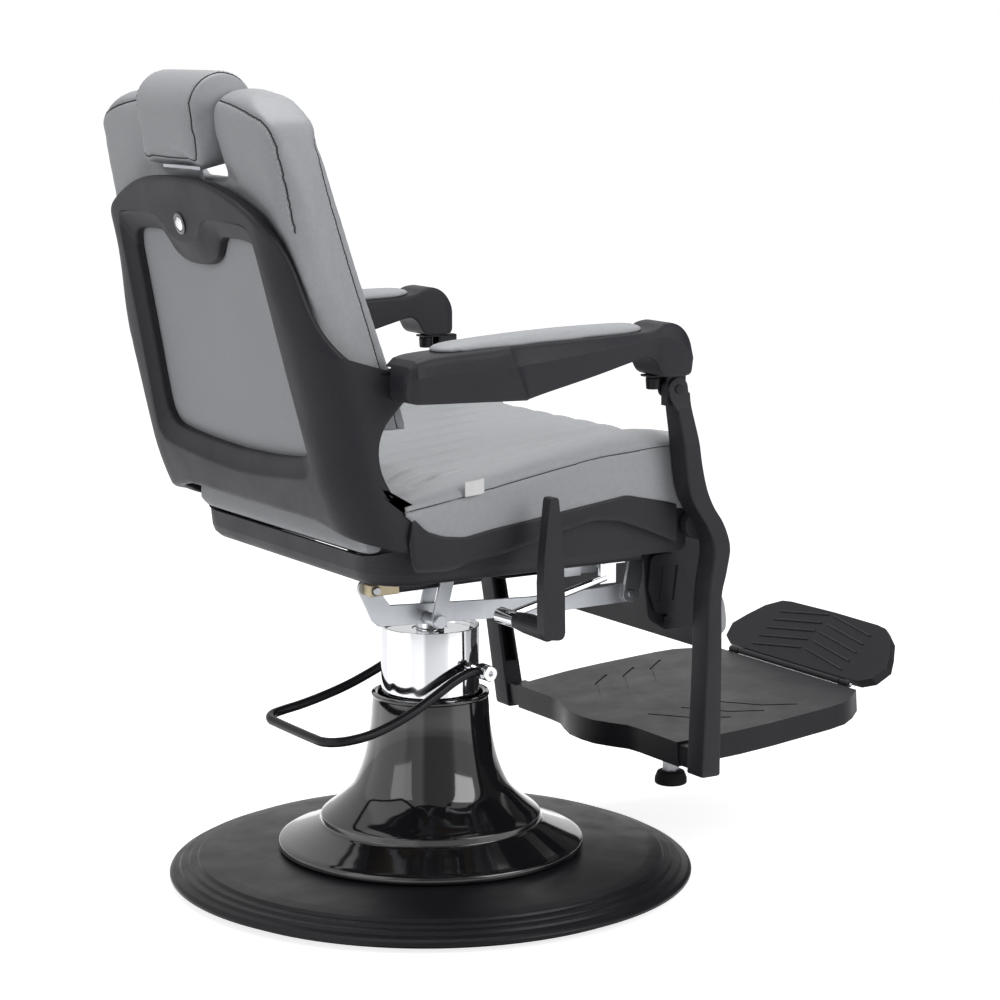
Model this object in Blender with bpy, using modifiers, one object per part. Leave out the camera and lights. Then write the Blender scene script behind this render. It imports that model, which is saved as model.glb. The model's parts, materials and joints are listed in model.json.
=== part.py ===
"""Hydraulic barber chair, built as an assembly of separate pieces.

Metres, +Z up. The origin is the middle of the base's underside, on the swivel
axis. The chair faces -Y; the sitter's right hand is at -X.
"""
import math

import bmesh
import bpy
from mathutils import Matrix, Vector

# ---------------------------------------------------------------- dimensions
FIT = 0.0003              # gap between pieces that touch
HOLE_FIT = 0.0003         # radial clearance of a pin in its hole
ROUND_STEPS = 36          # facets round a large turned piece
PIN_STEPS = 16            # facets round a pin

# base
BASE_RADIUS = 0.350
BASE_LIP = 0.009          # height of the cover's lower edge
BASE_RING_INNER = 0.3185
BASE_RING_OUTER = 0.330
BASE_PLATE_THICKNESS = 0.012
COVER_WALL = 0.003
COVER_TOP = 0.0405
BELL_SKIRT_RADIUS = 0.2035
BELL_STEP_RADIUS = 0.1465
BELL_MOUTH_RADIUS = 0.0747
BELL_TOP = 0.2515
BELL_WALL = 0.004
SOCKET_WALL = 0.006
SOCKET_TOP = 0.160

# pump
PUMP_RADIUS = 0.046
PUMP_BOTTOM = 0.030
PUMP_TOP = 0.3295
PUMP_BORE_BOTTOM = 0.060
SLEEVE_RADIUS = 0.0655
SLEEVE_WALL = 0.0025
SLEEVE_BOTTOM = 0.225
SLEEVE_TOP = 0.341
SLEEVE_CAP_THICKNESS = 0.006
RAM_RADIUS = 0.0185
RAM_BOTTOM = 0.075
RAM_HEAD_RADIUS = 0.034
RAM_HEAD_HEIGHT = 0.030

# pedal
PEDAL_Y = -0.035
PEDAL_Z = 0.287
PEDAL_SHAFT_RADIUS = 0.008
PEDAL_BAR_RADIUS = 0.0062
PEDAL_HALF_WIDTH = 0.100
PEDAL_REACH = 0.238
PEDAL_DROP = 0.060
PEDAL_HUB_RADIUS = 0.0105
PEDAL_HUB_LENGTH = 0.013

# recline linkage: the parallelogram seat - back - arm - post
POST_PIVOT_Y = -0.240
POST_PIVOT_Z = 0.492
ARM_FRONT_Y = -0.190
ARM_FRONT_Z = 0.674
LINK_SPAN_Y = 0.395       # from a front pivot to the rear pivot of the same bar
LINK_SPAN_Z = 0.026
PIN_RADIUS = 0.006

# seat frame
FLOOR_TOP = 0.4525        # underside of the steel frame
RAIL_X = 0.100
RAIL_WIDTH = 0.025
RAIL_HEIGHT = 0.0517
SIDE_PLATE_X = 0.240
SIDE_PLATE_THICKNESS = 0.0045
CROSS_HEIGHT = 0.024
BOARD_THICKNESS = 0.010

# seat shell and cushion
SHELL_HALF_WIDTH = 0.254
SHELL_WALL = 0.004
SHELL_BOTTOM = 0.4470
SHELL_REAR = 0.228
SHELL_FRONT = -0.254
CUSHION_HALF_WIDTH = 0.257
CUSHION_FRONT = -0.264
CUSHION_REAR = 0.232

# back
BACK_SLOPE = 0.227        # rearward run of the frame's face for each metre up
BACK_REF_Y = 0.293
BACK_REF_Z = 0.612
BACK_FRAME_TOP = 0.943
BACK_FRAME_BOTTOM = 0.528
BACK_HALF_TOP = 0.250
BACK_HALF_LOW = 0.277
BACK_CORNER = 0.055
RING_DEPTH = 0.022
WEB_THICKNESS = 0.014
LUG_RADIUS = 0.022
SHEET_COLUMNS = 36        # grid of the flat sheet that is bent into the frame
SHEET_ROWS = 16
SHEET_REACH = 0.440
SHEET_BOTTOM = 0.480
SHEET_TOP = 0.960
FRAME_MIDDLE_Z = 0.720
GROWN = 1.010             # how much the cushion's cut-out is larger than the frame
BACK_CUSHION_TOP = 1.056
BACK_CUSHION_BOTTOM = 0.602
BACK_CUSHION_HALF = 0.250
NOTCH_HALF = 0.090
NOTCH_BOTTOM = 0.945
HEADREST_HALF = 0.085
HEADREST_TOP_RADIUS = 0.045
BUTTON_RADIUS = 0.0088
BUTTON_Z = 0.884

# arms
ARM_INNER = 0.2633
ARM_OUTER = 0.328
ARM_PAD_THICKNESS = 0.012
ARM_PAD_HALF = 0.025
ARM_PAD_FRONT = -0.136
ARM_PAD_REAR = 0.160
TONGUE_THICKNESS = 0.018
CHEEK_THICKNESS = 0.004
KNOB_Y = -0.158

# posts and footrest
POST_INNER = 0.265
POST_WIDTH = 0.035
POST_LEAN = 0.043         # how far the foot of a post stands inside its knee
POST_KNEE_Z = 0.460
POST_FOOT_Z = 0.150
TUBE_RADIUS = 0.011
LEG_PLATE_X = 0.205
LEG_PLATE_THICKNESS = 0.004
FOOT_TILT = math.radians(4.1)
FOOT_REAR_Y = -0.262
FOOT_REAR_Z = 0.187
FOOT_HALF_REAR = 0.199
FOOT_SIDE = ((0.0, 0.199), (0.12, 0.2050), (0.28, 0.2115), (0.45, 0.2125), (0.60, 0.2105),
             (0.75, 0.2080), (0.84, 0.2030), (0.92, 0.1870), (1.0, 0.1640))   # share, half width
FOOT_LENGTH = 0.332
FOOT_THICKNESS = 0.034
FOOT_LUG_END = 0.2223
FOOT_WALL = 0.004
FLIP_TILT = math.radians(40.2)
FLIP_LENGTH = 0.1015
FLIP_THICKNESS = 0.014
HINGE_RADIUS = 0.0045
HINGE_PIN_RADIUS = 0.0020
HINGE_RISE = 0.0015        # hinge axis above the tread
STOP_Y = -0.394           # the rubber foot under the middle of the tread
STOP_BOTTOM = 0.078
STOP_RADIUS = 0.0215

# leg-rest link, straps and gas spring
BAR_X = -0.152
BAR_THICKNESS = 0.005
BAR_HEIGHT = 0.024
BAR_PIN_Y = -0.213
BAR_PIN_Z = 0.3870
STRAP_BOLT_Y = 0.095
HOOK_Y = 0.179
HOOK_Z = 0.433
STRAP_NEAR_X = -0.182
STRAP_FAR_X = -0.147
STRAP_THICKNESS = 0.004
SPRING_X = -0.165
SPRING_RADIUS = 0.008
SPRING_ROD_RADIUS = 0.004
SPRING_FRONT_Y = -0.108
SPRING_FRONT_Z = 0.438

# recline lever
LEVER_Y = 0.010
LEVER_Z = 0.388
LEVER_TEE_X = -0.212
HANDLE_INNER = -0.306
HANDLE_THICKNESS = 0.016

# derived places
BACK_PIVOT_Y = POST_PIVOT_Y + LINK_SPAN_Y
BACK_PIVOT_Z = POST_PIVOT_Z + LINK_SPAN_Z
ARM_REAR_Y = ARM_FRONT_Y + LINK_SPAN_Y
ARM_REAR_Z = ARM_FRONT_Z + LINK_SPAN_Z
STRAP_Y = BAR_PIN_Y - POST_PIVOT_Y
STRAP_Z = BAR_PIN_Z - POST_PIVOT_Z
STRAP_BOLT_Z = BAR_PIN_Z
STRAP_TOP_Y = STRAP_BOLT_Y - STRAP_Y
STRAP_TOP_Z = STRAP_BOLT_Z - STRAP_Z
BACK_ANGLE = math.atan(BACK_SLOPE)

ALL_X = (Vector((0, 1, 0)), Vector((0, 0, 1)), Vector((1, 0, 0)))   # outline in y, z
ALL_Y = (Vector((1, 0, 0)), Vector((0, 0, 1)), Vector((0, -1, 0)))  # outline in x, z
ALL_Z = (Vector((1, 0, 0)), Vector((0, 1, 0)), Vector((0, 0, 1)))   # outline in x, y

# ------------------------------------------------------------------- helpers
for old in list(bpy.data.objects):
    bpy.data.objects.remove(old, do_unlink=True)

chair = bpy.data.collections.new("barber_chair")
cutters = bpy.data.collections.new("cutters")
for made in (chair, cutters):
    bpy.context.scene.collection.children.link(made)


def finish(name, color, metallic, roughness):
    """A Principled material of one colour."""
    mat = bpy.data.materials.new(name)
    mat.use_nodes = True
    shader = mat.node_tree.nodes["Principled BSDF"]
    shader.inputs["Base Color"].default_value = (*color, 1.0)
    shader.inputs["Metallic"].default_value = metallic
    shader.inputs["Roughness"].default_value = roughness
    return mat


SATIN_BLACK = finish("satin_black_paint", (0.02, 0.02, 0.022), 0.0, 0.45)
GLOSS_BLACK = finish("gloss_black_paint", (0.012, 0.012, 0.014), 0.0, 0.08)
PLASTIC = finish("charcoal_plastic", (0.055, 0.054, 0.062), 0.0, 0.5)
LEATHER = finish("grey_leather", (0.33, 0.34, 0.35), 0.0, 0.5)
CHROME = finish("chrome", (0.8, 0.8, 0.82), 1.0, 0.08)
STEEL = finish("zinc_steel", (0.45, 0.46, 0.48), 1.0, 0.4)
BRASS = finish("brass", (0.5, 0.42, 0.26), 1.0, 0.4)
RUBBER = finish("black_rubber", (0.015, 0.015, 0.015), 0.0, 0.8)
BOARD = finish("plywood", (0.45, 0.3, 0.17), 0.0, 0.7)


def place(mesh, name, mat, cutter=False):
    """An object for a mesh, in its collection, smooth where it is round."""
    obj = bpy.data.objects.new(name, mesh)
    if cutter:
        cutters.objects.link(obj)
        obj.hide_render = True
        obj.display_type = "WIRE"
        return obj
    chair.objects.link(obj)
    mesh.materials.clear()
    mesh.materials.append(mat)
    mesh.shade_smooth()
    mesh.set_sharp_from_angle(angle=math.radians(32))
    return obj


def baked(obj):
    """The evaluated mesh of an object, which is then removed."""
    bpy.context.view_layer.update()
    graph = bpy.context.evaluated_depsgraph_get()
    mesh = bpy.data.meshes.new_from_object(obj.evaluated_get(graph))
    mesh.transform(obj.matrix_world)
    bpy.data.objects.remove(obj, do_unlink=True)
    weld = bmesh.new()
    weld.from_mesh(mesh)
    bmesh.ops.remove_doubles(weld, verts=weld.verts, dist=1e-6)
    weld.to_mesh(mesh)
    weld.free()
    return mesh


def frame_matrix(axes, at):
    """A matrix whose columns are three axes, placed at a point."""
    turn = Matrix.Identity(4)
    for column, axis in enumerate(axes):
        for row in range(3):
            turn[row][column] = axis[row]
    return Matrix.Translation(at) @ turn


def arc(cx, cy, radius, start, end, count=8):
    """Points of an arc, with its angles in degrees."""
    points = []
    for step in range(count + 1):
        angle = math.radians(start + (end - start) * step / count)
        points.append((cx + radius * math.cos(angle), cy + radius * math.sin(angle)))
    return points


def rounded(corners, count=4):
    """An outline from (x, y, radius) corners, each filleted by a curve."""
    points = []
    for index, (x, y, radius) in enumerate(corners):
        here = Vector((x, y))
        before = Vector(corners[index - 1][:2]) - here
        after = Vector(corners[(index + 1) % len(corners)][:2]) - here
        if radius <= 0:
            points.append((x, y))
            continue
        half = before.angle(after) / 2
        reach = min(radius / math.tan(half), before.length * 0.49, after.length * 0.49)
        start = here + before.normalized() * reach
        end = here + after.normalized() * reach
        for step in range(count + 1):
            t = step / count
            spot = start * (1 - t) ** 2 + here * 2 * t * (1 - t) + end * t ** 2
            points.append((spot.x, spot.y))
    return points


def plate(name, outlines, low, high, axes, mat=None, cutter=False, as_mesh=False):
    """A flat outline, or several with holes, extruded from low to high along axes[2]."""
    curve = bpy.data.curves.new(name, "CURVE")
    curve.dimensions = "2D"
    curve.fill_mode = "BOTH"
    curve.extrude = (high - low) / 2
    for outline in outlines:
        spline = curve.splines.new("POLY")
        spline.points.add(len(outline) - 1)
        for point, spot in zip(spline.points, outline):
            point.co = (spot[0], spot[1], 0, 1)
        spline.use_cyclic_u = True
    guide = bpy.data.objects.new(name + "_curve", curve)
    cutters.objects.link(guide)
    guide.matrix_world = frame_matrix(axes, axes[2] * (low + high) / 2)
    mesh = baked(guide)
    bpy.data.curves.remove(curve)
    if as_mesh:
        return mesh
    return place(mesh, name, mat, cutter)


def block(name, low, high, mat=None, cutter=False, tilt=0.0, about=(0, 0)):
    """A box between two corners, which may be tilted about X at a (y, z) point."""
    made = bmesh.new()
    bmesh.ops.create_cube(made, size=1.0)
    size = [b - a for a, b in zip(low, high)]
    middle = [(a + b) / 2 for a, b in zip(low, high)]
    bmesh.ops.scale(made, vec=size, verts=made.verts)
    bmesh.ops.translate(made, vec=middle, verts=made.verts)
    if tilt:
        bmesh.ops.rotate(made, cent=(0, *about), verts=made.verts,
                         matrix=Matrix.Rotation(tilt, 3, "X"))
    mesh = bpy.data.meshes.new(name)
    made.to_mesh(mesh)
    made.free()
    return place(mesh, name, mat, cutter)


def rod(name, start, end, radius, mat=None, cutter=False, steps=PIN_STEPS):
    """A round bar between two points."""
    a, b = Vector(start), Vector(end)
    made = bmesh.new()
    bmesh.ops.create_cone(made, cap_ends=True, segments=steps, radius1=radius,
                          radius2=radius, depth=(b - a).length)
    turn = (b - a).to_track_quat("Z", "Y").to_matrix().to_4x4()
    bmesh.ops.transform(made, matrix=Matrix.Translation((a + b) / 2) @ turn, verts=made.verts)
    mesh = bpy.data.meshes.new(name)
    made.to_mesh(mesh)
    made.free()
    return place(mesh, name, mat, cutter)


def turned(name, profile, mat, steps=ROUND_STEPS, closed=False, axis="Z", at=(0, 0, 0)):
    """A profile of (radius, height) points, swept round by a Screw modifier."""
    mesh = bpy.data.meshes.new(name)
    made = bmesh.new()
    spots = [made.verts.new((r, 0, h)) for r, h in profile]
    for first, second in zip(spots, spots[1:]):
        made.edges.new((first, second))
    if closed:
        made.edges.new((spots[-1], spots[0]))
    made.to_mesh(mesh)
    made.free()
    obj = place(mesh, name, mat)
    obj.location = at
    if axis == "X":
        obj.rotation_euler = (0, math.pi / 2, 0)
    if axis == "BACK":
        obj.rotation_euler = (-math.pi / 2 - BACK_ANGLE, 0, 0)
    screw = obj.modifiers.new("turn", "SCREW")
    screw.steps = steps
    screw.render_steps = steps
    screw.use_merge_vertices = True
    screw.merge_threshold = 1e-5
    screw.use_smooth_shade = True
    return obj


def cut(obj, *tools, operation="DIFFERENCE"):
    """Boolean modifiers, one for each tool."""
    for tool in tools:
        step = obj.modifiers.new(operation.lower(), "BOOLEAN")
        step.operation = operation
        step.solver = "EXACT"
        step.object = tool
    return obj


def join(obj, *tools):
    """Union with extra shapes, which are kept with the cutters."""
    return cut(obj, *tools, operation="UNION")


def soften(obj, width, segments=2, angle=35.0):
    """A Bevel modifier on the sharp edges."""
    step = obj.modifiers.new("soften", "BEVEL")
    step.width = width
    step.segments = segments
    step.limit_method = "ANGLE"
    step.angle_limit = math.radians(angle)
    step.harden_normals = False
    return obj


def bore_x(name, y, z, radius, low, high):
    """A cutter for a hole along X."""
    return rod(name, (low, y, z), (high, y, z), radius, cutter=True)


def empty(name, at):
    """A joint's place; what turns about it is its child."""
    spot = bpy.data.objects.new(name, None)
    spot.location = at
    chair.objects.link(spot)
    return spot


def hang(pivot, *pieces):
    """Parent pieces to a joint's empty, where they stand."""
    bpy.context.view_layer.update()
    for piece in pieces:
        world = piece.matrix_world.copy()
        piece.parent = pivot
        piece.matrix_parent_inverse = pivot.matrix_world.inverted()
        piece.matrix_world = world


def back_face(z):
    """y of the back frame's rear face at a height; its foot curls forward."""
    below = max(0.0, 0.60 - z)
    return BACK_REF_Y + BACK_SLOPE * (z - BACK_REF_Z) - 1.5 * below ** 2


# ---------------------------------------------------------------------- base
def build_base():
    plate_radius = BASE_RING_INNER - FIT
    turned("base_weight_plate", [(0, BASE_PLATE_THICKNESS), (plate_radius, BASE_PLATE_THICKNESS),
                                 (plate_radius, 0), (0, 0)], STEEL)
    rest = BASE_PLATE_THICKNESS + FIT
    turned("base_edge_ring", [(BASE_RING_INNER, BASE_PLATE_THICKNESS),
                              (BASE_RING_OUTER, BASE_PLATE_THICKNESS), (BASE_RING_OUTER, 0),
                              (BASE_RING_INNER, 0)], RUBBER, closed=True)
    top = [(0.150, COVER_TOP + 0.001), (0.200, COVER_TOP), (0.300, 0.0335), (0.3120, 0.0315),
           (0.3135, 0.0285), (0.3240, 0.0270), (0.3255, 0.0242), (0.3360, 0.0228),
           (0.3375, 0.0195), (0.3455, 0.0170), (BASE_RADIUS, 0.0130), (BASE_RADIUS, BASE_LIP)]
    inside = [(BASE_RADIUS - 0.004, BASE_LIP), (0.3440, 0.0115), (0.3320, 0.0165),
              (0.3280, 0.0180), (0.3275, rest), (0.3225, rest), (0.3215, 0.0205),
              (0.3090, 0.0250), (0.298, 0.0335 - COVER_WALL), (0.200, COVER_TOP - COVER_WALL),
              (0.150, COVER_TOP + 0.001 - COVER_WALL)]
    turned("base_cover", top + inside, SATIN_BLACK, steps=40, closed=True)

    foot = COVER_TOP + FIT
    flank = [(BELL_MOUTH_RADIUS - 0.0015, BELL_TOP), (BELL_MOUTH_RADIUS, BELL_TOP - 0.002),
             (0.0765, 0.235), (0.0782, 0.210), (0.0810, 0.1823), (0.0877, 0.1548),
             (0.0993, 0.1272), (0.1114, 0.1134), (0.1289, 0.0996), (0.1400, 0.0915),
             (BELL_STEP_RADIUS, 0.0855), (BELL_STEP_RADIUS, 0.0760), (0.165, 0.0665),
             (0.185, 0.0580), (0.1985, 0.0525), (BELL_SKIRT_RADIUS, 0.0480), (0.2020, foot)]
    inner = [(r - BELL_WALL, z if z > 0.2 else z - BELL_WALL * 0.7) for r, z in flank[2:-2]]
    inner_top = [(BELL_MOUTH_RADIUS - BELL_WALL, BELL_TOP)]
    inner_foot = [(BELL_SKIRT_RADIUS - BELL_WALL - 0.002, foot)]
    turned("base_bell", flank + inner_foot + inner[::-1] + inner_top, GLOSS_BLACK,
           steps=32, closed=True)

    bore = PUMP_RADIUS + HOLE_FIT
    turned("base_socket", [(bore, SOCKET_TOP), (bore + SOCKET_WALL, SOCKET_TOP),
                           (bore + SOCKET_WALL, BASE_PLATE_THICKNESS + FIT),
                           (bore, BASE_PLATE_THICKNESS + FIT)], STEEL, closed=True)


# ---------------------------------------------------------------------- pump
def build_pump():
    bore = RAM_RADIUS + HOLE_FIT
    shaft_bore = bore_x("pedal_shaft_bore", PEDAL_Y, PEDAL_Z, PEDAL_SHAFT_RADIUS + HOLE_FIT,
                        -0.12, 0.12)
    cylinder = turned("pump_cylinder", [(0, PUMP_BORE_BOTTOM), (bore, PUMP_BORE_BOTTOM),
                                        (bore, PUMP_TOP), (PUMP_RADIUS, PUMP_TOP),
                                        (PUMP_RADIUS, PUMP_BOTTOM), (0, PUMP_BOTTOM)],
                      STEEL, steps=40)
    cut(cylinder, shaft_bore)
    inner = SLEEVE_RADIUS - SLEEVE_WALL
    sleeve = turned("chrome_sleeve", [(inner, SLEEVE_TOP), (SLEEVE_RADIUS, SLEEVE_TOP),
                                      (SLEEVE_RADIUS, SLEEVE_BOTTOM), (inner, SLEEVE_BOTTOM)],
                    CHROME, closed=True)
    cut(sleeve, shaft_bore)
    cap_low = PUMP_TOP + FIT
    cap_high = cap_low + SLEEVE_CAP_THICKNESS
    turned("sleeve_cap", [(bore, cap_high), (inner - FIT, cap_high), (inner - FIT, cap_low),
                          (bore, cap_low)], CHROME, closed=True)


def build_pedal():
    pivot = empty("pedal_axis", (0, PEDAL_Y, PEDAL_Z))
    near = SLEEVE_RADIUS + 0.014
    route = [(near, 0, 0.0), (near + 0.002, 0.035, 0.010), (near + 0.006, 0.075, 0.004),
             (near + 0.012, 0.120, -0.022), (PEDAL_HALF_WIDTH, 0.160, -0.041),
             (PEDAL_HALF_WIDTH, PEDAL_REACH - 0.030, -PEDAL_DROP),
             (PEDAL_HALF_WIDTH - 0.006, PEDAL_REACH - 0.009, -PEDAL_DROP - 0.003),
             (PEDAL_HALF_WIDTH - 0.026, PEDAL_REACH, -PEDAL_DROP - 0.005)]
    right = [(-x, PEDAL_Y + y, PEDAL_Z + z) for x, y, z in route]
    left = [(x, PEDAL_Y + y, PEDAL_Z + z) for x, y, z in route]
    bar = tube("pedal_bar", right + left[::-1], PEDAL_BAR_RADIUS, SATIN_BLACK)
    hub_in = near - PEDAL_HUB_LENGTH / 2
    hubs = []
    for side in (-1, 1):
        hub = rod("pedal_hub_shape", (side * hub_in, PEDAL_Y, PEDAL_Z),
                  (side * (hub_in + PEDAL_HUB_LENGTH), PEDAL_Y, PEDAL_Z), PEDAL_HUB_RADIUS,
                  cutter=True)
        hubs.append(hub)
    join(bar, *hubs)
    cut(bar, bore_x("pedal_hub_bore", PEDAL_Y, PEDAL_Z, PEDAL_SHAFT_RADIUS + HOLE_FIT, -0.13, 0.13))
    end = hub_in + PEDAL_HUB_LENGTH + FIT
    head = end + 0.011
    shaft = turned("pedal_shaft", [(0, head), (PEDAL_HUB_RADIUS - 0.001, head),
                                   (PEDAL_HUB_RADIUS, head - 0.001), (PEDAL_HUB_RADIUS, end),
                                   (PEDAL_SHAFT_RADIUS, end), (PEDAL_SHAFT_RADIUS, -end),
                                   (PEDAL_HUB_RADIUS, -end), (PEDAL_HUB_RADIUS, 0.001 - head),
                                   (PEDAL_HUB_RADIUS - 0.001, -head), (0, -head)], CHROME,
                   steps=20, axis="X", at=(0, PEDAL_Y, PEDAL_Z))
    for side in (-1, 1):
        cut(shaft, rod("head_socket", (side * (head - 0.005), PEDAL_Y, PEDAL_Z),
                       (side * (head + 0.01), PEDAL_Y, PEDAL_Z), 0.004, cutter=True, steps=6))
    hang(pivot, bar, shaft)


def tube(name, points, radius, mat, cutter=False, resolution=2, smooth=3):
    """A round bar along a smooth line through points, as a mesh."""
    spots = smooth_line([Vector(p) for p in points], smooth)
    curve = bpy.data.curves.new(name, "CURVE")
    curve.dimensions = "3D"
    curve.bevel_depth = radius
    curve.bevel_resolution = resolution
    curve.use_fill_caps = True
    spline = curve.splines.new("POLY")
    spline.points.add(len(spots) - 1)
    for point, spot in zip(spline.points, spots):
        point.co = (*spot, 1)
    guide = bpy.data.objects.new(name + "_curve", curve)
    cutters.objects.link(guide)
    mesh = baked(guide)
    bpy.data.curves.remove(curve)
    return place(mesh, name, mat, cutter)


def smooth_line(points, parts):
    """Catmull-Rom points along a line."""
    if parts <= 1:
        return points
    ends = [points[0] * 2 - points[1]] + points + [points[-1] * 2 - points[-2]]
    line = []
    for a, b, c, d in zip(ends, ends[1:], ends[2:], ends[3:]):
        for step in range(parts):
            t = step / parts
            line.append(0.5 * (2 * b + (c - a) * t + (2 * a - 5 * b + 4 * c - d) * t ** 2
                               + (3 * b - a - 3 * c + d) * t ** 3))
    return line + [points[-1]]


# ---------------------------------------------------------------------- seat
def shell_block(name, inset, low, cutter):
    """The tray's outer or inner form: a box that narrows a little to its floor."""
    made = bmesh.new()
    bmesh.ops.create_cube(made, size=1.0)
    size = (2 * (SHELL_HALF_WIDTH - inset), SHELL_REAR - SHELL_FRONT - 2 * inset, 0.120)
    bmesh.ops.scale(made, vec=size, verts=made.verts)
    bmesh.ops.translate(made, vec=(0, (SHELL_REAR + SHELL_FRONT) / 2, low + 0.060),
                        verts=made.verts)
    for vert in made.verts:
        if vert.co.z < low + 0.01:
            vert.co.x *= 1 - 0.003 / SHELL_HALF_WIDTH
            vert.co.y -= 0.012 if vert.co.y > 0 else 0
    upright = [e for e in made.edges if abs(e.verts[0].co.z - e.verts[1].co.z) > 0.05]
    for radius, facing in ((0.060, 1), (0.026, -1)):
        corner = [e for e in upright if e.is_valid and e.verts[0].co.y * facing > 0]
        bmesh.ops.bevel(made, geom=corner, offset=radius - inset, segments=5, affect="EDGES",
                        profile=0.5)
    floor = [e for e in made.edges if max(v.co.z for v in e.verts) < low + 0.001
             and len(e.link_faces) == 2
             and any(abs(f.normal.z) < 0.5 for f in e.link_faces)]
    bmesh.ops.bevel(made, geom=floor, offset=0.018 - inset, segments=3, affect="EDGES",
                    profile=0.5)
    bmesh.ops.recalc_face_normals(made, faces=made.faces)
    mesh = bpy.data.meshes.new(name)
    made.to_mesh(mesh)
    made.free()
    return place(mesh, name, PLASTIC, cutter)


def build_seat():
    ram_top = FLOOR_TOP - FIT
    head_low = ram_top - RAM_HEAD_HEIGHT
    neck = RAM_RADIUS + 0.006
    turned("lift_ram", [(0, ram_top), (RAM_HEAD_RADIUS, ram_top),
                        (RAM_HEAD_RADIUS, ram_top - 0.010), (neck, head_low + 0.004),
                        (neck, head_low), (RAM_RADIUS, head_low), (RAM_RADIUS, RAM_BOTTOM),
                        (0, RAM_BOTTOM)], CHROME, steps=32)

    frame = block("seat_frame", (-RAIL_X - RAIL_WIDTH / 2, -0.190, FLOOR_TOP),
                  (-RAIL_X + RAIL_WIDTH / 2, 0.172, FLOOR_TOP + RAIL_HEIGHT), STEEL)
    rail = block("left_rail_shape", (RAIL_X - RAIL_WIDTH / 2, -0.190, FLOOR_TOP),
                 (RAIL_X + RAIL_WIDTH / 2, 0.172, FLOOR_TOP + RAIL_HEIGHT), cutter=True)
    side_out = SIDE_PLATE_X + SIDE_PLATE_THICKNESS
    cross_low = FLOOR_TOP + 0.018
    rear_cross = block("rear_cross_shape", (-side_out + 0.002, 0.140, cross_low),
                       (side_out - 0.002, 0.171, cross_low + CROSS_HEIGHT), cutter=True)
    middle = block("middle_cross_shape", (-RAIL_X, -0.045, FLOOR_TOP + 0.0005),
                   (RAIL_X, 0.045, FLOOR_TOP + 0.016), cutter=True)
    front_cross = block("front_cross_shape", (-side_out + 0.002, -0.189, cross_low),
                        (side_out - 0.002, -0.160, cross_low + CROSS_HEIGHT), cutter=True)
    join(frame, rail, rear_cross, middle, front_cross)
    for side in (-1, 1):
        low, high = sorted((side * SIDE_PLATE_X, side * side_out))
        rear = rounded([(0.130, cross_low, 0.004), (0.172, cross_low, 0.006),
                        (BACK_PIVOT_Y + 0.017, BACK_PIVOT_Z + 0.018, 0.012),
                        (BACK_PIVOT_Y - 0.020, BACK_PIVOT_Z + 0.018, 0.012)])
        front = rounded([(POST_PIVOT_Y - 0.018, POST_PIVOT_Z - 0.018, 0.012),
                         (-0.200, cross_low, 0.004), (-0.155, cross_low, 0.006),
                         (-0.155, cross_low + CROSS_HEIGHT, 0.006),
                         (POST_PIVOT_Y - 0.018, POST_PIVOT_Z + 0.012, 0.010)])
        for word, outline in (("rear", rear), ("front", front)):
            join(frame, plate(word + "_lug_shape", [outline], low, high, ALL_X, cutter=True))
    strap_block = block("strap_lug_shape",
                        (STRAP_NEAR_X + STRAP_THICKNESS / 2 + FIT, STRAP_TOP_Y - 0.012,
                         STRAP_TOP_Z - 0.0105),
                        (-RAIL_X, STRAP_TOP_Y + 0.024, FLOOR_TOP + RAIL_HEIGHT - 0.0005),
                        cutter=True)
    slot_reach = STRAP_FAR_X - STRAP_THICKNESS / 2 - FIT
    slot = block("strap_slot", (slot_reach, STRAP_TOP_Y - 0.03, STRAP_TOP_Z - 0.02),
                 (STRAP_FAR_X + STRAP_THICKNESS / 2 + FIT, STRAP_TOP_Y + 0.014, 0.6), cutter=True)
    join(frame, strap_block)
    cut(frame, slot)
    join(frame, block("spring_lug_shape", (SPRING_X - 0.016, SPRING_FRONT_Y - 0.012, 0.424),
                      (-RAIL_X, SPRING_FRONT_Y + 0.012, 0.470), cutter=True))
    cut(frame, block("spring_gap", (SPRING_X - 0.0115, SPRING_FRONT_Y - 0.02, 0.40),
                     (SPRING_X + 0.0115, SPRING_FRONT_Y + 0.02, 0.4655), cutter=True),
        block("spring_lug_trim", (SPRING_X + 0.016, SPRING_FRONT_Y - 0.02, 0.40),
              (-RAIL_X + RAIL_WIDTH, SPRING_FRONT_Y + 0.02, FLOOR_TOP), cutter=True))
    for side in (-1, 1):
        low, high = sorted((side * 0.232, side * 0.260))
        cut(frame, bore_x("back_pin_bore", BACK_PIVOT_Y, BACK_PIVOT_Z, PIN_RADIUS + HOLE_FIT,
                          low, high),
            bore_x("leg_tube_bore", POST_PIVOT_Y, POST_PIVOT_Z, TUBE_RADIUS + HOLE_FIT, low, high))
    cut(frame, bore_x("strap_top_bore", STRAP_TOP_Y, STRAP_TOP_Z, 0.005 + HOLE_FIT, -0.20, -0.115))

    pin_end = STRAP_NEAR_X - STRAP_THICKNESS / 2 - 0.004
    rod("strap_top_pin", (pin_end, STRAP_TOP_Y, STRAP_TOP_Z),
        (STRAP_FAR_X + 0.0300, STRAP_TOP_Y, STRAP_TOP_Z), 0.005, STEEL)

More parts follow.
